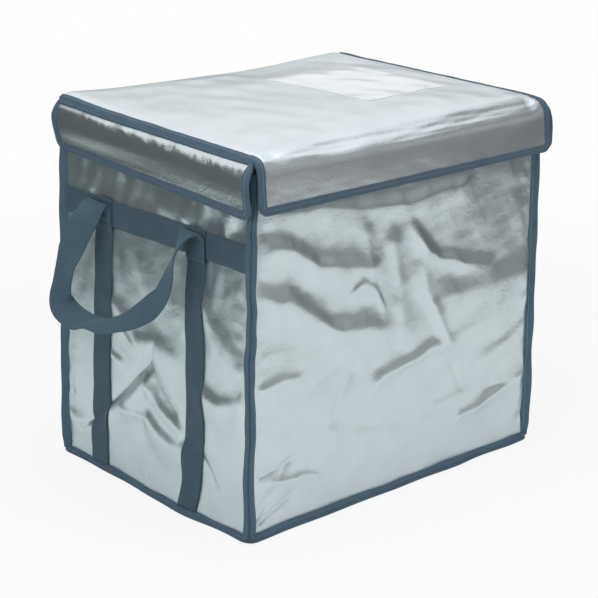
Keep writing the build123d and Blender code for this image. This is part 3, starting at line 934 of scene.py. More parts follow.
def sewn_strip(name, node, wall, run, middle, upright, lift, thick):
    """A strip on a wall along run. middle is its centre line's place at each point of run, and lift how far
    its underside stands off the laminate."""
    share = np.array([-0.5, -0.497, -0.47, -0.4, -0.25, -0.1, 0.1, 0.25, 0.4, 0.47, 0.497, 0.5])
    outer = np.array([0.35, 0.75, 0.97, 1, 1, 1, 1, 1, 1, 0.97, 0.75, 0.35])
    rr, cc = np.meshgrid(run, share * webbing_width, indexing="ij")
    centre = middle[:, None] + cc
    s, z = (centre, rr) if upright else (rr, centre)
    base = give(wall, s, z) + lift[:, None] + 0.1 * rolling(s, z, 34, 15)
    # The ends of a cross band are sewn in under the corner tapes
    held = HALF_LENGTHS[wall] - 3.0
    s = s if upright else np.clip(s, -held, held)
    face = wall_point(wall, s, z, base + outer * thick)
    under = wall_point(wall, s, z, base - 0.25)[:, ::-1]
    points = np.concatenate([face, under], 1)
    obj = surface(name, points, strap_webbing, "body", "webbing", round_columns=True, capped=True)
    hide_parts(node)


# Each strap's (up, across) points, with across to the front on the left wall, and the seed of its wander
STRAPS = {
    "front": ([(8, 68), (45, 73), (90, 77), (150, 76), (215, 75.5), (290, 77), (329, 79)], 21),
    "rear": ([(8, -97.5), (60, -96.5), (110, -94), (215, -90), (290, -87), (329, -85.5)], 27),
}
for wall, hand in (("left", 1), ("right", -1)):
    run = np.linspace(-162.0, 162.0, 150)
    band_middle = 313.0 + 0.8 * np.sin(run / 60)
    sewn_strip(f"{wall}_cross_band", f"{wall}_band", wall, run, band_middle, False, 0.35 + 0 * run, 1.7)
    for place, (line, seed) in STRAPS.items():
        line = np.array(line, float)
        up = np.linspace(8.0, 329.0, 150)
        wander = 0.8 * rolling(up, 0 * up, 80, seed) * (1 - ease(up, 240, 300))
        centre = hand * (np.interp(up, line[:, 0], line[:, 1]) + wander)
        # The strap lies on the laminate up to the band and then passes over the band
        lift = 0.35 + 2.0 * ease(up, 291, 298)
        name = f"{wall}_strap_{place}"
        sewn_strip(f"{name}_webbing", name, wall, up, centre, True, lift, 2.0)

# %% [markdown]
# ## Handles
#
# Each handle is a strip of the same webbing. It leaves the top of one strap, folds outward over itself,
# hangs, turns through half a turn as it crosses, and comes back to the other strap. A smooth line runs
# through some thirty stations, and at each one the strip's width has a direction of its own, so the broad
# face turns from the side to the front.

# %% A smooth line and the hanging webbing


def through(points, count):
    """A smooth line through points: each span is a cubic whose end slopes are the chords across its ends."""
    points = np.array(points, float)
    gap = np.maximum(np.linalg.norm(np.diff(points[:, :3], axis=0), axis=1), 1e-6)
    at = np.concatenate([[0], np.cumsum(gap)])
    slope = np.gradient(points, at, axis=0)
    where = np.linspace(0, at[-1], count)
    span = np.clip(np.searchsorted(at, where, side="right") - 1, 0, len(gap) - 1)
    length = gap[span][:, None]
    t = ((where - at[span]) / gap[span])[:, None]
    start, end = points[span], points[span + 1]
    first, last = slope[span] * length, slope[span + 1] * length
    from_start = (2 * t**3 - 3 * t**2 + 1) * start + (t**3 - 2 * t**2 + t) * first
    return from_start + (3 * t**2 - 2 * t**3) * end + (t**3 - t**2) * last


# Along the wall towards the rear, out from the middle plane, up, and two angles of the width: its turn from
# straight out towards the rear, and its dip below the level
handle_line = [
    (-77, 222.5, 296, -90, 0), (-77, 222.5, 313, -90, 0), (-77, 224, 322, -90, 0),
    (-76.5, 228, 327, -84, 0), (-75, 233.5, 326, -70, 0), (-73, 238, 320.5, -58, 0),
    (-70, 241, 312, -50, 0), (-67, 243, 301, -47, 0), (-65.5, 247, 289, -57, 0), (-65, 253, 273, -72, 0),
    (-63, 259, 259, -78, 5), (-54, 264, 247, -80, 22), (-38, 267, 235, -60, 36), (-10, 270, 220, -30, 28),
    (14, 271, 210, -10, 24), (38, 272, 206, 0, 8), (60, 273, 203, 0, 26), (78, 274, 206, 10, 34),
    (91, 274.5, 213, 40, 32), (95, 274.5, 223, 70, 16), (95, 273, 234, 84, 2), (94, 271, 247, 87, -2),
    (93.5, 267, 261, 84, -6), (91, 262, 275, 66, -16), (88, 251, 297, 52, -22), (86, 242, 311, 60, -18),
    (85, 234, 321, 74, -10), (84.5, 227, 323.5, 84, -4), (84.5, 223, 317, 90, 0),
    (84.5, 222.5, 303, 90, 0),
]


handle_rows = 260


def hanging_handle(name, side):
    """The handle's strip: 30 mm wide, 2 mm thick, cupped a little where it hangs free."""
    line = through(handle_line, handle_rows)
    path = np.stack([side * line[:, 1], line[:, 0], line[:, 2]], -1)
    turn, dip = np.radians(line[:, 3]), np.radians(line[:, 4])
    width_way = np.stack([side * np.cos(turn) * np.cos(dip), np.sin(turn) * np.cos(dip), -np.sin(dip)], -1)
    tangent = unit(np.gradient(path, axis=0))
    across = unit(width_way - tangent * (width_way * tangent).sum(-1, keepdims=True))
    outward = np.cross(tangent, across)
    half = webbing_width / 2
    share = np.array([-15, -14.8, -13.8, -11, -7, -2.5, 2.5, 7, 11, 13.8, 14.8, 15])
    thick = np.array([0.45, 0.85, 1.0, 1, 1, 1, 1, 1, 1, 1.0, 0.85, 0.45])
    row = np.arange(float(handle_rows))[:, None]
    free = ease(row, 20, 60) * (1 - ease(row, 200, 240))
    cup = -0.9 * (share / half) ** 2 * free
    upper = np.stack([share + 0 * cup, cup + thick], -1)
    lower = np.stack([share + 0 * cup, cup - thick], -1)[:, ::-1]
    points = carried(path, across, outward, np.concatenate([upper, lower], 1))
    return surface(name, points, handle_webbing, None, "webbing", round_columns=True, capped=True)


for hand, side in (("left", -1), ("right", 1)):
    handle = hanging_handle(f"{hand}_handle_webbing", side)
    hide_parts(f"{hand}_handle")
    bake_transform(handle)

# %% [markdown]
# ## Lid and front flap
#
# The lid's top and the front flap are one sheet. In side view it starts in a small roll round the rear hinge,
# runs forward, turns down over a soft fold and hangs a little away from the wall. Its inside is pushed up by
# the foam and sags at the rear edge.

# %% The sheet's side view and its height

lid_side = 216.6
sheet_profile = [
    (168.6, 422.2), (168.9, 423.6), (168.7, 425.2), (167.6, 426.3), (165.0, 426.5), (120.0, 426.2),
    (40.0, 426.0), (-60.0, 426.0), (-130.0, 426.0), (-150.0, 425.6), (-158.5, 424.6), (-165.8, 421.7),
    (-170.8, 417.2), (-173.8, 411.6), (-175.2, 404.5), (-175.9, 394.0), (-176.5, 381.0), (-177.2, 367.4),
]
sheet_line = through(sheet_profile, 330)
sheet_step = np.gradient(sheet_line, axis=0)
sheet_normal = unit(np.stack([sheet_step[:, 1], -sheet_step[:, 0]], -1))
sheet_normal = sheet_normal * np.where(sheet_normal[165, 1] < 0, -1, 1)


def left_edge_rise(x, y):
    """How far the lid's left edge stands above its plain line: up at its rear corner, down towards the
    front."""
    corner = 3.0 * ease(-x, 120, 215) * ease(y, 70, 165)
    slope = (
        np.interp(y, [-170, -143, -92, -45, 0, 45, 100], [-2.6, -2.6, -2.0, -0.9, 0.0, 0.7, 1.5])
        * ease(-x, 150, 212)
    )
    return corner + slope


def lid_rise(x, y):
    """How far the lid's top stands above its plain line: a low crown, soft dents, the sagging rear edge and
    the sloping left edge."""
    inside = (1 - np.abs(x / 216) ** 3.0).clip(0) * ease(y, -172, -110) * (1 - 0.8 * ease(y, 60, 166))
    crown = 3.4 * inside
    dents = 0.6 * rolling(x, y * 1.2, 150, 101, 7) + 0.28 * rolling(x, y, 48, 102)
    dents = dents * ease(y, -178, -140) * (1 - ease(np.abs(x), 180, 212)) * (1 - 0.85 * ease(y, 140, 166))
    dents = dents - 0.9 * np.exp(-(((x + 138) / 34) ** 2) - ((y - 79) / 20) ** 2)
    sag = -3.6 * np.exp(-(((x - 5) / 120.0) ** 2)) - 2.8 * np.exp(-(((x - 85) / 85.0) ** 2))
    sag = sag * ease(y, 60, 166)
    margin = -3.4 * ease(np.abs(x), 203, 214) ** 1.5
    return crown + dents + sag + left_edge_rise(x, y) + margin


def shoulder_drop(x, y):
    """How far the soft front shoulder of the lid lies below its plain line: most from the middle to the
    right, and little at the taped ends."""
    wide = (0.35 + 0.65 * ease(x, -205, -70)) * (1 - 0.85 * ease(np.abs(x), 192, 213))
    return -wide * 5.2 * np.exp(-(((y + 166.5) / 8.5) ** 2))


def flap_puff(x, drop):
    """How far the front flap stands out of its plain line, by its distance below the fold: it is puffed in
    its middle, and its right end swings out from the wall."""
    share = np.clip(drop / 52, 0, 1)
    puff = 1.3 * np.sin(share * np.pi) * (1 - np.abs(x / 214) ** 6)
    swing = 3.0 * ease(x, -190, 150) * share
    crinkle = 0.14 * rolling(x * 0.5, drop, 40, 111) + 0.035 * rolling(x * 0.5, drop * 1.5, 15, 112)
    return (puff + swing + crinkle) * ease(drop, 0, 10)


sheet_across = np.linspace(-lid_side, lid_side, 240)
sheet_x = np.repeat(sheet_across[None], len(sheet_line), 0)
line_y, line_z = sheet_line[:, :1] + 0 * sheet_x, sheet_line[:, 1:] + 0 * sheet_x
top_part = 1 - ease(-line_y, 150, 174)
flap_part = ease(424.0 - line_z, 6, 22) * (line_y < 0)
rise = lid_rise(sheet_x, line_y) * top_part
rise = rise + shoulder_drop(sheet_x, line_y) * ease(line_z, 404, 416)
puff = flap_puff(sheet_x, np.clip(420 - line_z, 0, 60)) * flap_part
# The fold's edge wavers a little and has fine streaks along it
fold_wave = 0.5 * rolling(sheet_x, line_y, 90, 113) + 0.15 * rolling(sheet_x * 0.2, line_y * 1.4, 11, 114)
out = puff + fold_wave * np.exp(-(((line_y + 165) / 10.0) ** 2))
out_y, out_z = sheet_normal[:, :1] * out, sheet_normal[:, 1:] * out
sheet_points = np.stack([sheet_x, line_y + out_y, line_z + rise + out_z], -1)

# %% [markdown]
# The flap's lower corners are cut round. Instead of cutting the grid, each row near the bottom is drawn in to
# the rounded outline, which keeps the grid whole.

# %% Round the flap's corners and make the sheet


def drawn_in(half, bottom, height, radius):
    """The half width of an outline with rounded lower corners at a height."""
    depth = np.clip(bottom + radius - height, 0, radius)
    return half - radius + np.sqrt(np.clip(radius**2 - depth**2, 0, None))


corner_half = np.where(line_y[:, :1] < -150, drawn_in(lid_side, 366.6, line_z[:, :1], 8.5), lid_side)
sheet_points[..., 0] = sheet_x / lid_side * corner_half
lid_sheet = surface("lid_and_front_flap", sheet_points, lid_foil, None, "foil_laminate", facing=(0, -0.3, 1))
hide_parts("lid_skin", "front_flap_skin", "front_flap_foam")

# %% [markdown]
# ## Tape round the lid and its flap
#
# One tape is folded over the sheet's edge, forward along the lid, down round the front flap and back. Its
# section follows the sheet's border, with one axis out past the cloth and one up from it. Along the lid it is
# rolled over by about 30 degrees, because the side flaps hang from it.

# %% The edge tape's path and section

tape_section = np.array(
    [
        (-4.5, 0.2), (-4.35, 1.2), (-3.4, 1.6), (-1.0, 1.75), (-0.35, 1.55), (0.1, 1.2), (0.55, 1.55),
        (1.2, 1.75), (2.6, 1.6), (3.9, 1.0), (4.5, -0.2), (4.5, -1.8), (3.9, -2.8), (2.6, -3.2),
        (-3.4, -3.3), (-4.4, -3.0), (-4.5, -2.0),
    ]
)


# The length of a normal that is carried along with a point
tiny = 0.001


def taped_edge(name, border, normal, body, loop=False, seed=0, share=1.0):
    """Tape folded over a border line. Its width and thickness wander a little, and share scales its width."""
    tangent = np.roll(border, -1, 0) - np.roll(border, 1, 0) if loop else np.gradient(border, axis=0)
    tangent = unit(tangent)
    normal = unit(normal - tangent * (normal * tangent).sum(-1, keepdims=True))
    outward = np.cross(tangent, normal)
    run = np.concatenate([[0], np.cumsum(np.linalg.norm(np.diff(border, axis=0), axis=1))])
    width = share * (1 + 0.035 * rolling(run, 0 * run, 60, seed) + 0.02 * rolling(run, 0 * run, 23, seed + 1))
    thick = 1 + 0.10 * rolling(run, 0 * run, 45, seed + 2)
    sections = tape_section[None] * np.stack([width, thick], -1)[:, None]
    points = carried(border, outward, normal, sections)
    ends = {"round_rows": loop, "capped": not loop}
    return surface(name, points, edge_tape, body, "binding_tape", round_columns=True, **ends)


first_row = int(np.argmax(sheet_line[:, 0] < 166.0))
left_border, right_border = sheet_points[first_row:, 0], sheet_points[first_row:, -1]
low_border = sheet_points[-1]
row_top = top_part[first_row:, :1]
row_normal = np.concatenate([0 * row_top, sheet_normal[first_row:]], 1)
rolled_over = row_top * np.array([math.tan(math.radians(30)), 0, 0])
low_normal = np.array([0, *sheet_normal[-1]]) + 0 * low_border
whole_border = np.concatenate([left_border, low_border[1:-1], right_border[::-1]])
whole_normal = np.concatenate([row_normal - rolled_over, low_normal[1:-1], (row_normal + rolled_over)[::-1]])
# The normals go along as small numbers, so that they hardly count in the distances
even = spread(np.concatenate([whole_border, unit(whole_normal) * tiny], 1), 2.4)
narrowed = 1 - 0.16 * ease(even[:, 1], -172, -150)
lid_tape = taped_edge(
    "lid_and_front_flap_tape", even[:, :3], even[:, 3:] / tiny, None, seed=121, share=narrowed
)
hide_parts("lid_binding_left", "lid_binding_right", "front_flap_binding")

# %% [markdown]
# ## Inside of the lid and of the front flap
#
# Under the sheet the lid carries a foam board in a tray of lining film, which drops into the mouth. The flap
# has its own lining, set back from its face by the flap's thickness.

# %% The lid's board and tray

tray_x, tray_front, tray_rear = 214.5, -159.8, 160.4
tray_u = np.linspace(-1, 1, 90)


def tray_face(x_half, front, rear, z, wave):
    """A flat rectangle between the tray's sides, with soft waves."""
    a, b = np.meshgrid(tray_u, tray_u, indexing="ij")
    x, y = a * x_half, (front + rear) / 2 + b * (rear - front) / 2
    pinned = (1 - a**8) * (1 - b**8)
    sag = -0.8 + 0.5 * rolling(x, y, 70, 131) + 0.12 * rolling(x, y, 21, 132)
    return np.stack([x, y, z + wave * pinned * sag], -1)


tray_bottom = tray_face(tray_x, tray_front, tray_rear, 413.9, 0.5)
ring = [tray_bottom[0, :], tray_bottom[:, -1], tray_bottom[-1, ::-1], tray_bottom[::-1, 0]]
edge_low = np.concatenate([part[:-1] for part in ring])
edge_x, edge_y = edge_low[:, 0], edge_low[:, 1]
# The tray's wall ends just under the sheet, at every place round it
edge_top = np.interp(edge_y, [-166, -158, -150], [420.8, 423.4, 424.6]) + lid_rise(edge_x, edge_y)
edge_high = np.stack([edge_x, edge_y, edge_top + shoulder_drop(edge_x, edge_y)], -1)
tray_wall = np.stack([edge_low, edge_low + [0, 0, 2.5], edge_high], 0)
lid_tray = surface("lid_lining_tray", tray_bottom, lining_film, "lid", "inner_lining", facing=(0, 0, -1))
surface("lid_lining_side", tray_wall, lining_film, "lid", "inner_lining", round_columns=True)
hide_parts("lid_lining")
board_x, board_y = tray_bottom[::8, ::8, 0] * 0.995, tray_bottom[::8, ::8, 1] * 0.995
board_top = np.minimum(423.2, 423.8 + lid_rise(board_x, board_y)) + shoulder_drop(board_x, board_y)
board_low = np.stack([board_x, board_y, np.full_like(board_x, 415.2)], -1)
board_high = np.stack([board_x, board_y, board_top], -1)[:, ::-1]
board_points = np.concatenate([board_low, board_high], 1)
lid_board = surface("lid_board", board_points, foam_sheet, "lid", "insulation_foam", **BOARD_FORM)
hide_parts("lid_foam")

# %% [markdown]
# ### The front flap's lining
#
# The flap is two layers sewn together at their edge, with a thin foam between them. So its lining is the
# sheet's own surface moved in along its normal, and it comes back to the sheet at the sides.

# %% The front flap's lining

flap_rows = np.flatnonzero((sheet_line[:, 1] < 413.5) & (sheet_line[:, 0] < 0))
flap_out = np.concatenate([0 * sheet_normal[flap_rows, :1], sheet_normal[flap_rows]], 1)
lining_depth = 3.0 - 1.2 * ease(-sheet_line[flap_rows, 1], -377, -369)
sewn_sides = (1 - (np.abs(sheet_across) / lid_side) ** 20)[:, None]
front_lining_points = sheet_points[flap_rows] - (lining_depth[:, None] * flap_out)[:, None] * sewn_sides
front_lining = surface(
    "front_flap_lining_cloth",
    front_lining_points[:, ::2],
    lining_film,
    "front_flap",
    "inner_lining",
    facing=(0, 1, 0),
)
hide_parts("front_flap_lining")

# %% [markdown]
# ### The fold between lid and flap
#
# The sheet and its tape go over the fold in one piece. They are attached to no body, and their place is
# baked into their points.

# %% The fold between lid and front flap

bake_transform(lid_sheet)
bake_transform(lid_tape)

# %% [markdown]
# ## Side flaps
#
# A side flap hangs from the lid's edge tape. Under its own top tape the cloth puffs out, and from there it
# falls nearly straight. Its front end stands further from the wall than its rear end.

# %% A side flap's cloth


flap_profile = [
    (220.8, 419.4), (222.6, 416.6), (226.3, 412.4), (229.1, 407.4), (230.6, 401.5), (231.0, 395.0),
    (230.4, 386.0), (229.2, 377.0), (228.5, 367.0),
]
flap_top, flap_fall = 419.4, 52.4
upper_round, lower_round = 3.0, 8.0
flap_rear, flap_front = 163.0, -164.6
flap_thick = 3.0
flap_columns = 190


def around(grid):
    """The border of a grid of points, once round: its first row, last column, last row and first column."""
    return np.concatenate([grid[0, :-1], grid[:-1, -1], grid[-1, :0:-1], grid[:0:-1, 0]])


def side_flap_form(side):
    """The flap's points and normals. Rows run down it and columns from its rear to its front."""
    share = np.linspace(0, 1, flap_columns)
    profile = through(flap_profile, 60)
    out, z = profile[:, :1] + 0 * share, profile[:, 1:] + 0 * share
    down = (flap_top - z) / flap_fall
    # The front end stands out and reaches lower
    out = out + down * (-6.0 + 9.0 * share)
    z = z + down * (6.4 - 9.2 * share)
    drop = flap_top - profile[:, 1]
    near_top = np.clip(upper_round - drop, 0, upper_round)
    near_low = np.clip(drop - (flap_fall - lower_round), 0, lower_round)
    inset = upper_round - np.sqrt(upper_round**2 - near_top**2)
    inset = inset + lower_round - np.sqrt(np.clip(lower_round**2 - near_low**2, 0, None))
    rear_end = flap_rear - inset
    front_end = flap_front - 5.5 * drop / flap_fall + inset
    y = rear_end[:, None] + (front_end - rear_end)[:, None] * share
    z = z + (1 - down) * left_edge_rise(side * 216.0, y)
    pinned = 1 - np.abs(2 * share - 1) ** 10
    # The cloth is gathered under its top tape and smoother below, with hard creases at its front end
    band = np.exp(-(((down - 0.16) / 0.10) ** 2))
    gathers = band * (0.34 * rolling(y, z * 0.4, 22, 141) + 0.15 * rolling(y, z * 0.5, 9, 142))
    waves = 0.22 * rolling(y * 0.35, z * 1.6, 44, 143) * ease(down, 0.15, 0.4)
    creases = 0.5 * np.exp(-(((1 - share) / 0.10) ** 2)) * np.sin(z / 2.1)
    creases = creases * ease(down, 0.0, 0.1) * (1 - ease(down, 0.30, 0.55))
    puff = 0.8 * np.sin(np.clip(down, 0, 1) * np.pi) ** 0.8
    held = pinned * ease(down, 0.0, 0.12) * (1 - 0.7 * ease(down, 0.85, 1.0))
    out = out + (gathers + waves + creases + puff) * held
    points = np.stack([side * out, y, z], -1)
    normal = unit(np.cross(np.gradient(points, axis=1), np.gradient(points, axis=0)))
    normal = normal * np.sign(side * normal[..., :1])
    depth = flap_thick * pinned * (1 - np.abs(2 * down - 1) ** 14)
    return points, normal, points - normal * depth[..., None]


def side_flap(hand, side):
    """The flap's cloth, tape and lining, from its form."""
    points, normal, lining_points = side_flap_form(side)
    flap = f"{hand}_flap"
    cloth = surface(f"{flap}_cloth", points, shaded_flap_foil, flap, "foil_laminate", facing=(side, 0, 0))
    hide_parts(f"{hand}_flap_skin", f"{hand}_flap_foam")
    # The tape's up direction is the mean normal of each row, so that it doesn't follow every small wave
    inner = normal[2:-2, 2:-2].mean(1, keepdims=True) * np.ones((1, flap_columns, 1))
    inner = np.concatenate([inner[:1]] * 2 + [inner] + [inner[-1:]] * 2)
    border, border_normal = around(points), around(inner)
    even = spread(np.concatenate([border, border_normal * tiny], 1), 2.4, True)
    way = 1 if np.cross(border[5] - border[0], border_normal[0])[2] > 0 else -1
    even = even[::way]
    narrowed = 1 - 0.36 * ease(even[:, 2], 408, 416)
    seed = 151 if side < 0 else 161
    tape = taped_edge(
        f"{flap}_tape", even[:, :3], even[:, 3:] / tiny, flap, loop=True, seed=seed, share=narrowed
    )
    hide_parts(f"{hand}_flap_binding")
    lining_points = lining_points[:, ::2]
    lining = surface(
        f"{flap}_lining_cloth", lining_points, lining_film, flap, "inner_lining", facing=(-side, 0, 0)
    )
    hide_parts(f"{hand}_flap_lining")
    return points, normal


side_flaps = {hand: side_flap(hand, side) for hand, side in (("left", -1), ("right", 1))}

# %% [markdown]
# ## Closure tapes
#
# Under each flap a strip of hook tape meets a strip of loop tape on the wall. Each is a thin closed strip
# that takes the form of the cloth that it is sewn to.

# %% Hook and loop strips


def strip_on(name, node, face, normal, thick, material, body, slot):
    """A closed strip on a patch of cloth: its base is 0.1 mm off the patch, and its face is thick off it."""
    points = np.concatenate([face + normal * thick, (face + normal * 0.1)[:, ::-1]], 1)
    obj = surface(name, points, material, body, slot, round_columns=True, capped=True)
    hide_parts(node)


strip_low, strip_high = 377, 401
for wall, half_length in (("front", 120.0), ("left", 75.0), ("right", 75.0)):
    along, up = np.linspace(-half_length, half_length, 90), np.linspace(strip_low, strip_high, 14)
    s, z = np.meshgrid(along, up, indexing="ij")
    face = wall_point(wall, s, z, give(wall, s, z))
    outward = wall_point(wall, s, z, give(wall, s, z) + 1) - face
    strip_on(f"{wall}_loop_strip", f"{wall}_loop_tape", face, outward, 1.3, loop_pile, "body", "loop_tape")


def strip_rows(points):
    """The rows of a flap's points whose middle lies at the strip's heights."""
    height = points[:, points.shape[1] // 2, 2]
    return np.flatnonzero((height < strip_high) & (height > strip_low))


rows = strip_rows(front_lining_points)
patch = front_lining_points[rows][:, 54:186:2]
inward = -flap_out[rows][:, None] + 0 * patch
strip_on("front_hook_strip", "front_hook_tape", patch, inward, 1.4, hook_pile, "front_flap", "hook_tape")
for hand, (points, normal) in side_flaps.items():
    rows = strip_rows(points)
    inward = -normal[rows][:, 52:138:2]
    patch = points[rows][:, 52:138:2] + flap_thick * inward
    strip_on(
        f"{hand}_hook_strip", f"{hand}_hook_tape", patch, inward, 1.4, hook_pile, f"{hand}_flap", "hook_tape"
    )

# %% [markdown]
# ## The sheet on the lid
#
# A blank milky film lies on the lid, turned a few degrees. It takes its height from the lid's own surface.

# %% The blank film

film_a, film_b = np.meshgrid(np.linspace(-68, 68, 60), np.linspace(-82, 82, 70), indexing="ij")
film_turn = math.radians(3.0)
film_x = 93 + film_a * math.cos(film_turn) - film_b * math.sin(film_turn)
film_y = 12 + film_a * math.sin(film_turn) + film_b * math.cos(film_turn)
film_z = np.interp(-film_y, -sheet_line[:, 0], sheet_line[:, 1]) + lid_rise(film_x, film_y)
film_wave = 0.15 + 0.12 * (1 + rolling(film_a, film_b, 30, 171))
film_under = np.stack([film_x, film_y, film_z + 0.08], -1)
film_over = np.stack([film_x, film_y, film_z + 0.25 + film_wave], -1)
film_points = np.concatenate([film_over, film_under[:, ::-1]], 1)
label = surface(
    "blank_label_film", film_points, label_film, "lid", "label_sheet", round_columns=True, capped=True
)
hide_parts("blank_label")

# %% [markdown]
# ## Studio
#
# Foil shows its surroundings, so the studio matters as much as the material. The floor and the backdrop are
# white. To the camera the floor also gives off light of its own, a little less near the carrier than far out,
# so that it has no edge against the backdrop and the carrier still throws a soft shadow.

# %% Floor

floor_mesh = bpy.data.meshes.new("studio_floor")
floor_mesh.from_pydata([(-14, -14, 0), (14, -14, 0), (14, 14, 0), (-14, 14, 0)], [], [(0, 1, 2, 3)])
studio_floor = bpy.data.objects.new("studio_floor", floor_mesh)
bpy.context.scene.collection.objects.link(studio_floor)
floor_material, floor_tree, floor_shader = finish("white_paper", Roughness=0.95)
floor_shader.inputs["Base Color"].default_value = linear("#f2f2f2")
floor_shader.inputs["Specular IOR Level"].default_value = 0.0
seen = add(floor_tree, "LightPath").outputs["Is Camera Ray"]
glow = add(floor_tree, "Emission", {"Color": (1, 1, 1, 1), "Strength": 1.0})
floor_place = {0: add(floor_tree, "TexCoord").outputs["Object"]}
floor_far = add(floor_tree, "VectorMath", floor_place, operation="LENGTH").outputs["Value"]
floor_range = {0: floor_far, 1: 0.45, 2: 1.5, 3: 0.84, 4: 1.0}
floor_fade = add(floor_tree, "MapRange", floor_range, interpolation_type="SMOOTHSTEP").outputs[0]
seen_glow = add(floor_tree, "Math", {0: seen, 1: floor_fade}, operation="MULTIPLY").outputs[0]
floor_mix = add(floor_tree, "MixShader", {0: seen_glow, 1: floor_shader.outputs[0], 2: glow.outputs[0]})
floor_tree.links.new(floor_mix.outputs[0], floor_tree.nodes["Material Output"].inputs["Surface"])
floor_mesh.materials.append(floor_material)

# %% [markdown]
# ### Curtain
#
# A grey curtain stands round the floor. It gives off a dim light of its own, takes none from the lamps, and
# only
# reflections see it: cloth that leans back shows the curtain and turns dark, and upright cloth shows the
# floor and stays bright. Its glow is brightest at its foot, so the change is soft.

# %% Curtain for reflections

ring_turn = np.linspace(0, 2 * np.pi, 97)[:-1]
# How far the curtain stands, by direction: near on the right, behind and on the left, far towards the front
# and the rear right
curtain_degrees = [0, 47, 90, 142, 185, 230, 270, 313, 345, 360]
curtain_metres = [0.80, 1.25, 0.78, 0.67, 0.90, 1.30, 1.35, 1.05, 0.82, 0.80]
ring_reach = np.interp(np.degrees(ring_turn), curtain_degrees, curtain_metres)
ring_reach = sum(np.roll(ring_reach, shift) for shift in range(-3, 4)) / 7


def towards(degrees, start, end):
    """1 in a direction and 0 away from it, by ease() of the cosine of the angle between."""
    return ease(np.cos(ring_turn - math.radians(degrees)), start, end)


# The curtain is 1.02 m high, lower at the two rear corners, which the lid reflects, and higher at the front
# right, which the lid's fold reflects
ring_top = 1.02 - np.maximum(0.44 * towards(47.3, 0.0, 0.6), 0.27 * towards(142, 0.2, 0.8))
ring_top = ring_top + 0.36 * towards(313, 0.2, 0.7)
ring_levels = np.linspace(0, 1, 9)
ring_x, ring_y = ring_reach * np.cos(ring_turn), ring_reach * np.sin(ring_turn)
ring_points = np.stack([np.stack([ring_x, ring_y, 0.002 + level * ring_top], -1) for level in ring_levels])
curtain = surface(
    "studio_curtain", ring_points / MM, floor_material, None, "foil_laminate", round_columns=True
)
curtain_material, curtain_tree, curtain_shader = finish("reflection_curtain_glow")
curtain_place = add(curtain_tree, "SeparateXYZ", {0: add(curtain_tree, "TexCoord").outputs["Object"]})
curtain_range = {0: curtain_place.outputs[2], 1: 0.0, 2: 0.17, 3: 0.54, 4: 0.08}
curtain_ramp = add(curtain_tree, "MapRange", curtain_range, interpolation_type="SMOOTHSTEP").outputs[0]
# Its grey is a little cooler on the left than on the right
curtain_way = add(curtain_tree, "MapRange", {0: curtain_place.outputs[0], 1: -0.5, 2: 0.3}).outputs[0]
curtain_greys = {0: curtain_way, 6: (0.88, 1.0, 0.98, 1), 7: (1.0, 0.975, 0.94, 1)}
curtain_colour = add(curtain_tree, "Mix", curtain_greys, data_type="RGBA").outputs[2]
# The curtain's grey is its own glow, fading from its foot to its top, and no lamp lights it.
curtain_glow = add(curtain_tree, "Emission", {"Color": curtain_colour, "Strength": curtain_ramp})
curtain_tree.links.new(curtain_glow.outputs[0], curtain_tree.nodes["Material Output"].inputs["Surface"])
curtain.data.materials.clear()
curtain.data.materials.append(curtain_material)
for rays_of in ("camera", "diffuse", "shadow", "transmission"):
    setattr(curtain, f"visible_{rays_of}", False)

# %% [markdown]
# ### World, lamps and camera
#
# The world is white for what is seen directly, in a reflection or through a film, and dimmer as a lamp, so
# that the soft lamps shape the forms: a large one overhead, one on the left and one in front on the right.
# The camera looks down on the front and the left side from a little over two metres, with a long lens, so
# that the box's sides stay nearly parallel.

# %% World

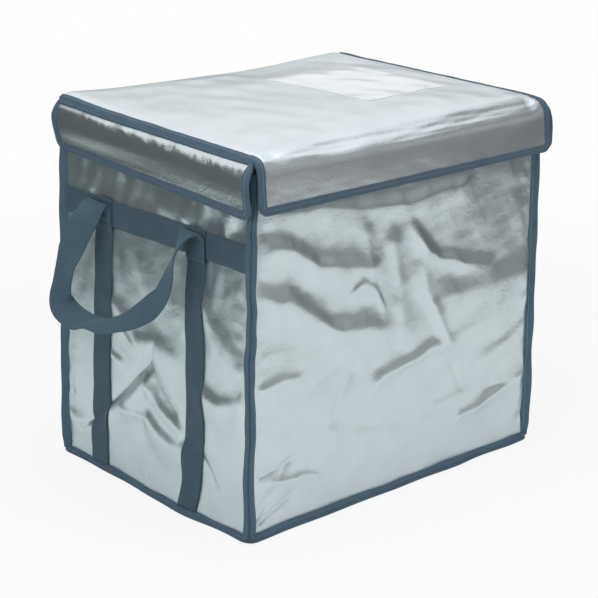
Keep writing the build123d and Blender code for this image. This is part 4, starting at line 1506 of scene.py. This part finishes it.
world = bpy.data.worlds.new("studio_world")
bpy.context.scene.world = world
world.use_nodes = True
sky = world.node_tree
sky.nodes.clear()
rays = add(sky, "LightPath").outputs
seen_or_glossy = {0: rays["Is Camera Ray"], 1: rays["Is Glossy Ray"]}
direct = add(sky, "Math", seen_or_glossy, operation="MAXIMUM").outputs[0]
direct = add(sky, "Math", {0: direct, 1: rays["Is Transmission Ray"]}, operation="MAXIMUM").outputs[0]
brightness = add(sky, "Math", {0: direct, 1: 0.58, 2: 0.42}, operation="MULTIPLY_ADD").outputs[0]
background = add(sky, "Background", {"Color": (1, 1, 1, 1), "Strength": brightness})
add(sky, "OutputWorld", {0: background.outputs[0]})

# %% Lamps


def soft_lamp(name, place, aim, size, watts):
    """A square area lamp at a place in metres, turned to its aim."""
    lamp = bpy.data.lights.new(name, "AREA")
    lamp.shape, lamp.size, lamp.energy = "SQUARE", size, watts
    obj = bpy.data.objects.new(name, lamp)
    bpy.context.scene.collection.objects.link(obj)
    obj.location = place
    obj.rotation_euler = (Vector(aim) - Vector(place)).to_track_quat("-Z", "Y").to_euler()
    return obj


soft_lamp("lamp_overhead", (-0.2, -0.1, 2.6), (0, 0, 0.3), 1.8, 26)
soft_lamp("lamp_left", (-2.4, -0.9, 1.5), (0, 0, 0.25), 1.4, 22)
soft_lamp("lamp_right", (1.6, -2.4, 1.4), (0, 0, 0.25), 1.4, 16)

# %% Camera

view_from = Vector((-1.3998, -1.51334, 0.87935))
azimuth, elevation, roll = math.radians(-42.72), math.radians(18.64), math.radians(0.90)
back_axis = Vector(
    (math.sin(azimuth) * math.cos(elevation), -math.cos(azimuth) * math.cos(elevation), math.sin(elevation))
)
right_axis = Vector((0, 0, 1)).cross(back_axis).normalized()
up_axis = back_axis.cross(right_axis)
turned_right = right_axis * math.cos(roll) + up_axis * math.sin(roll)
turned_up = up_axis * math.cos(roll) - right_axis * math.sin(roll)
lens = bpy.data.cameras.new("camera")
lens.sensor_width = 36.0
lens.lens = 3.1 * lens.sensor_width
camera = bpy.data.objects.new("camera", lens)
bpy.context.scene.collection.objects.link(camera)
axes = Matrix((turned_right, turned_up, back_axis)).transposed().to_4x4()
camera.matrix_world = Matrix.Translation(view_from) @ axes
bpy.context.scene.camera = camera
bpy.context.scene.view_settings.view_transform = "Standard"
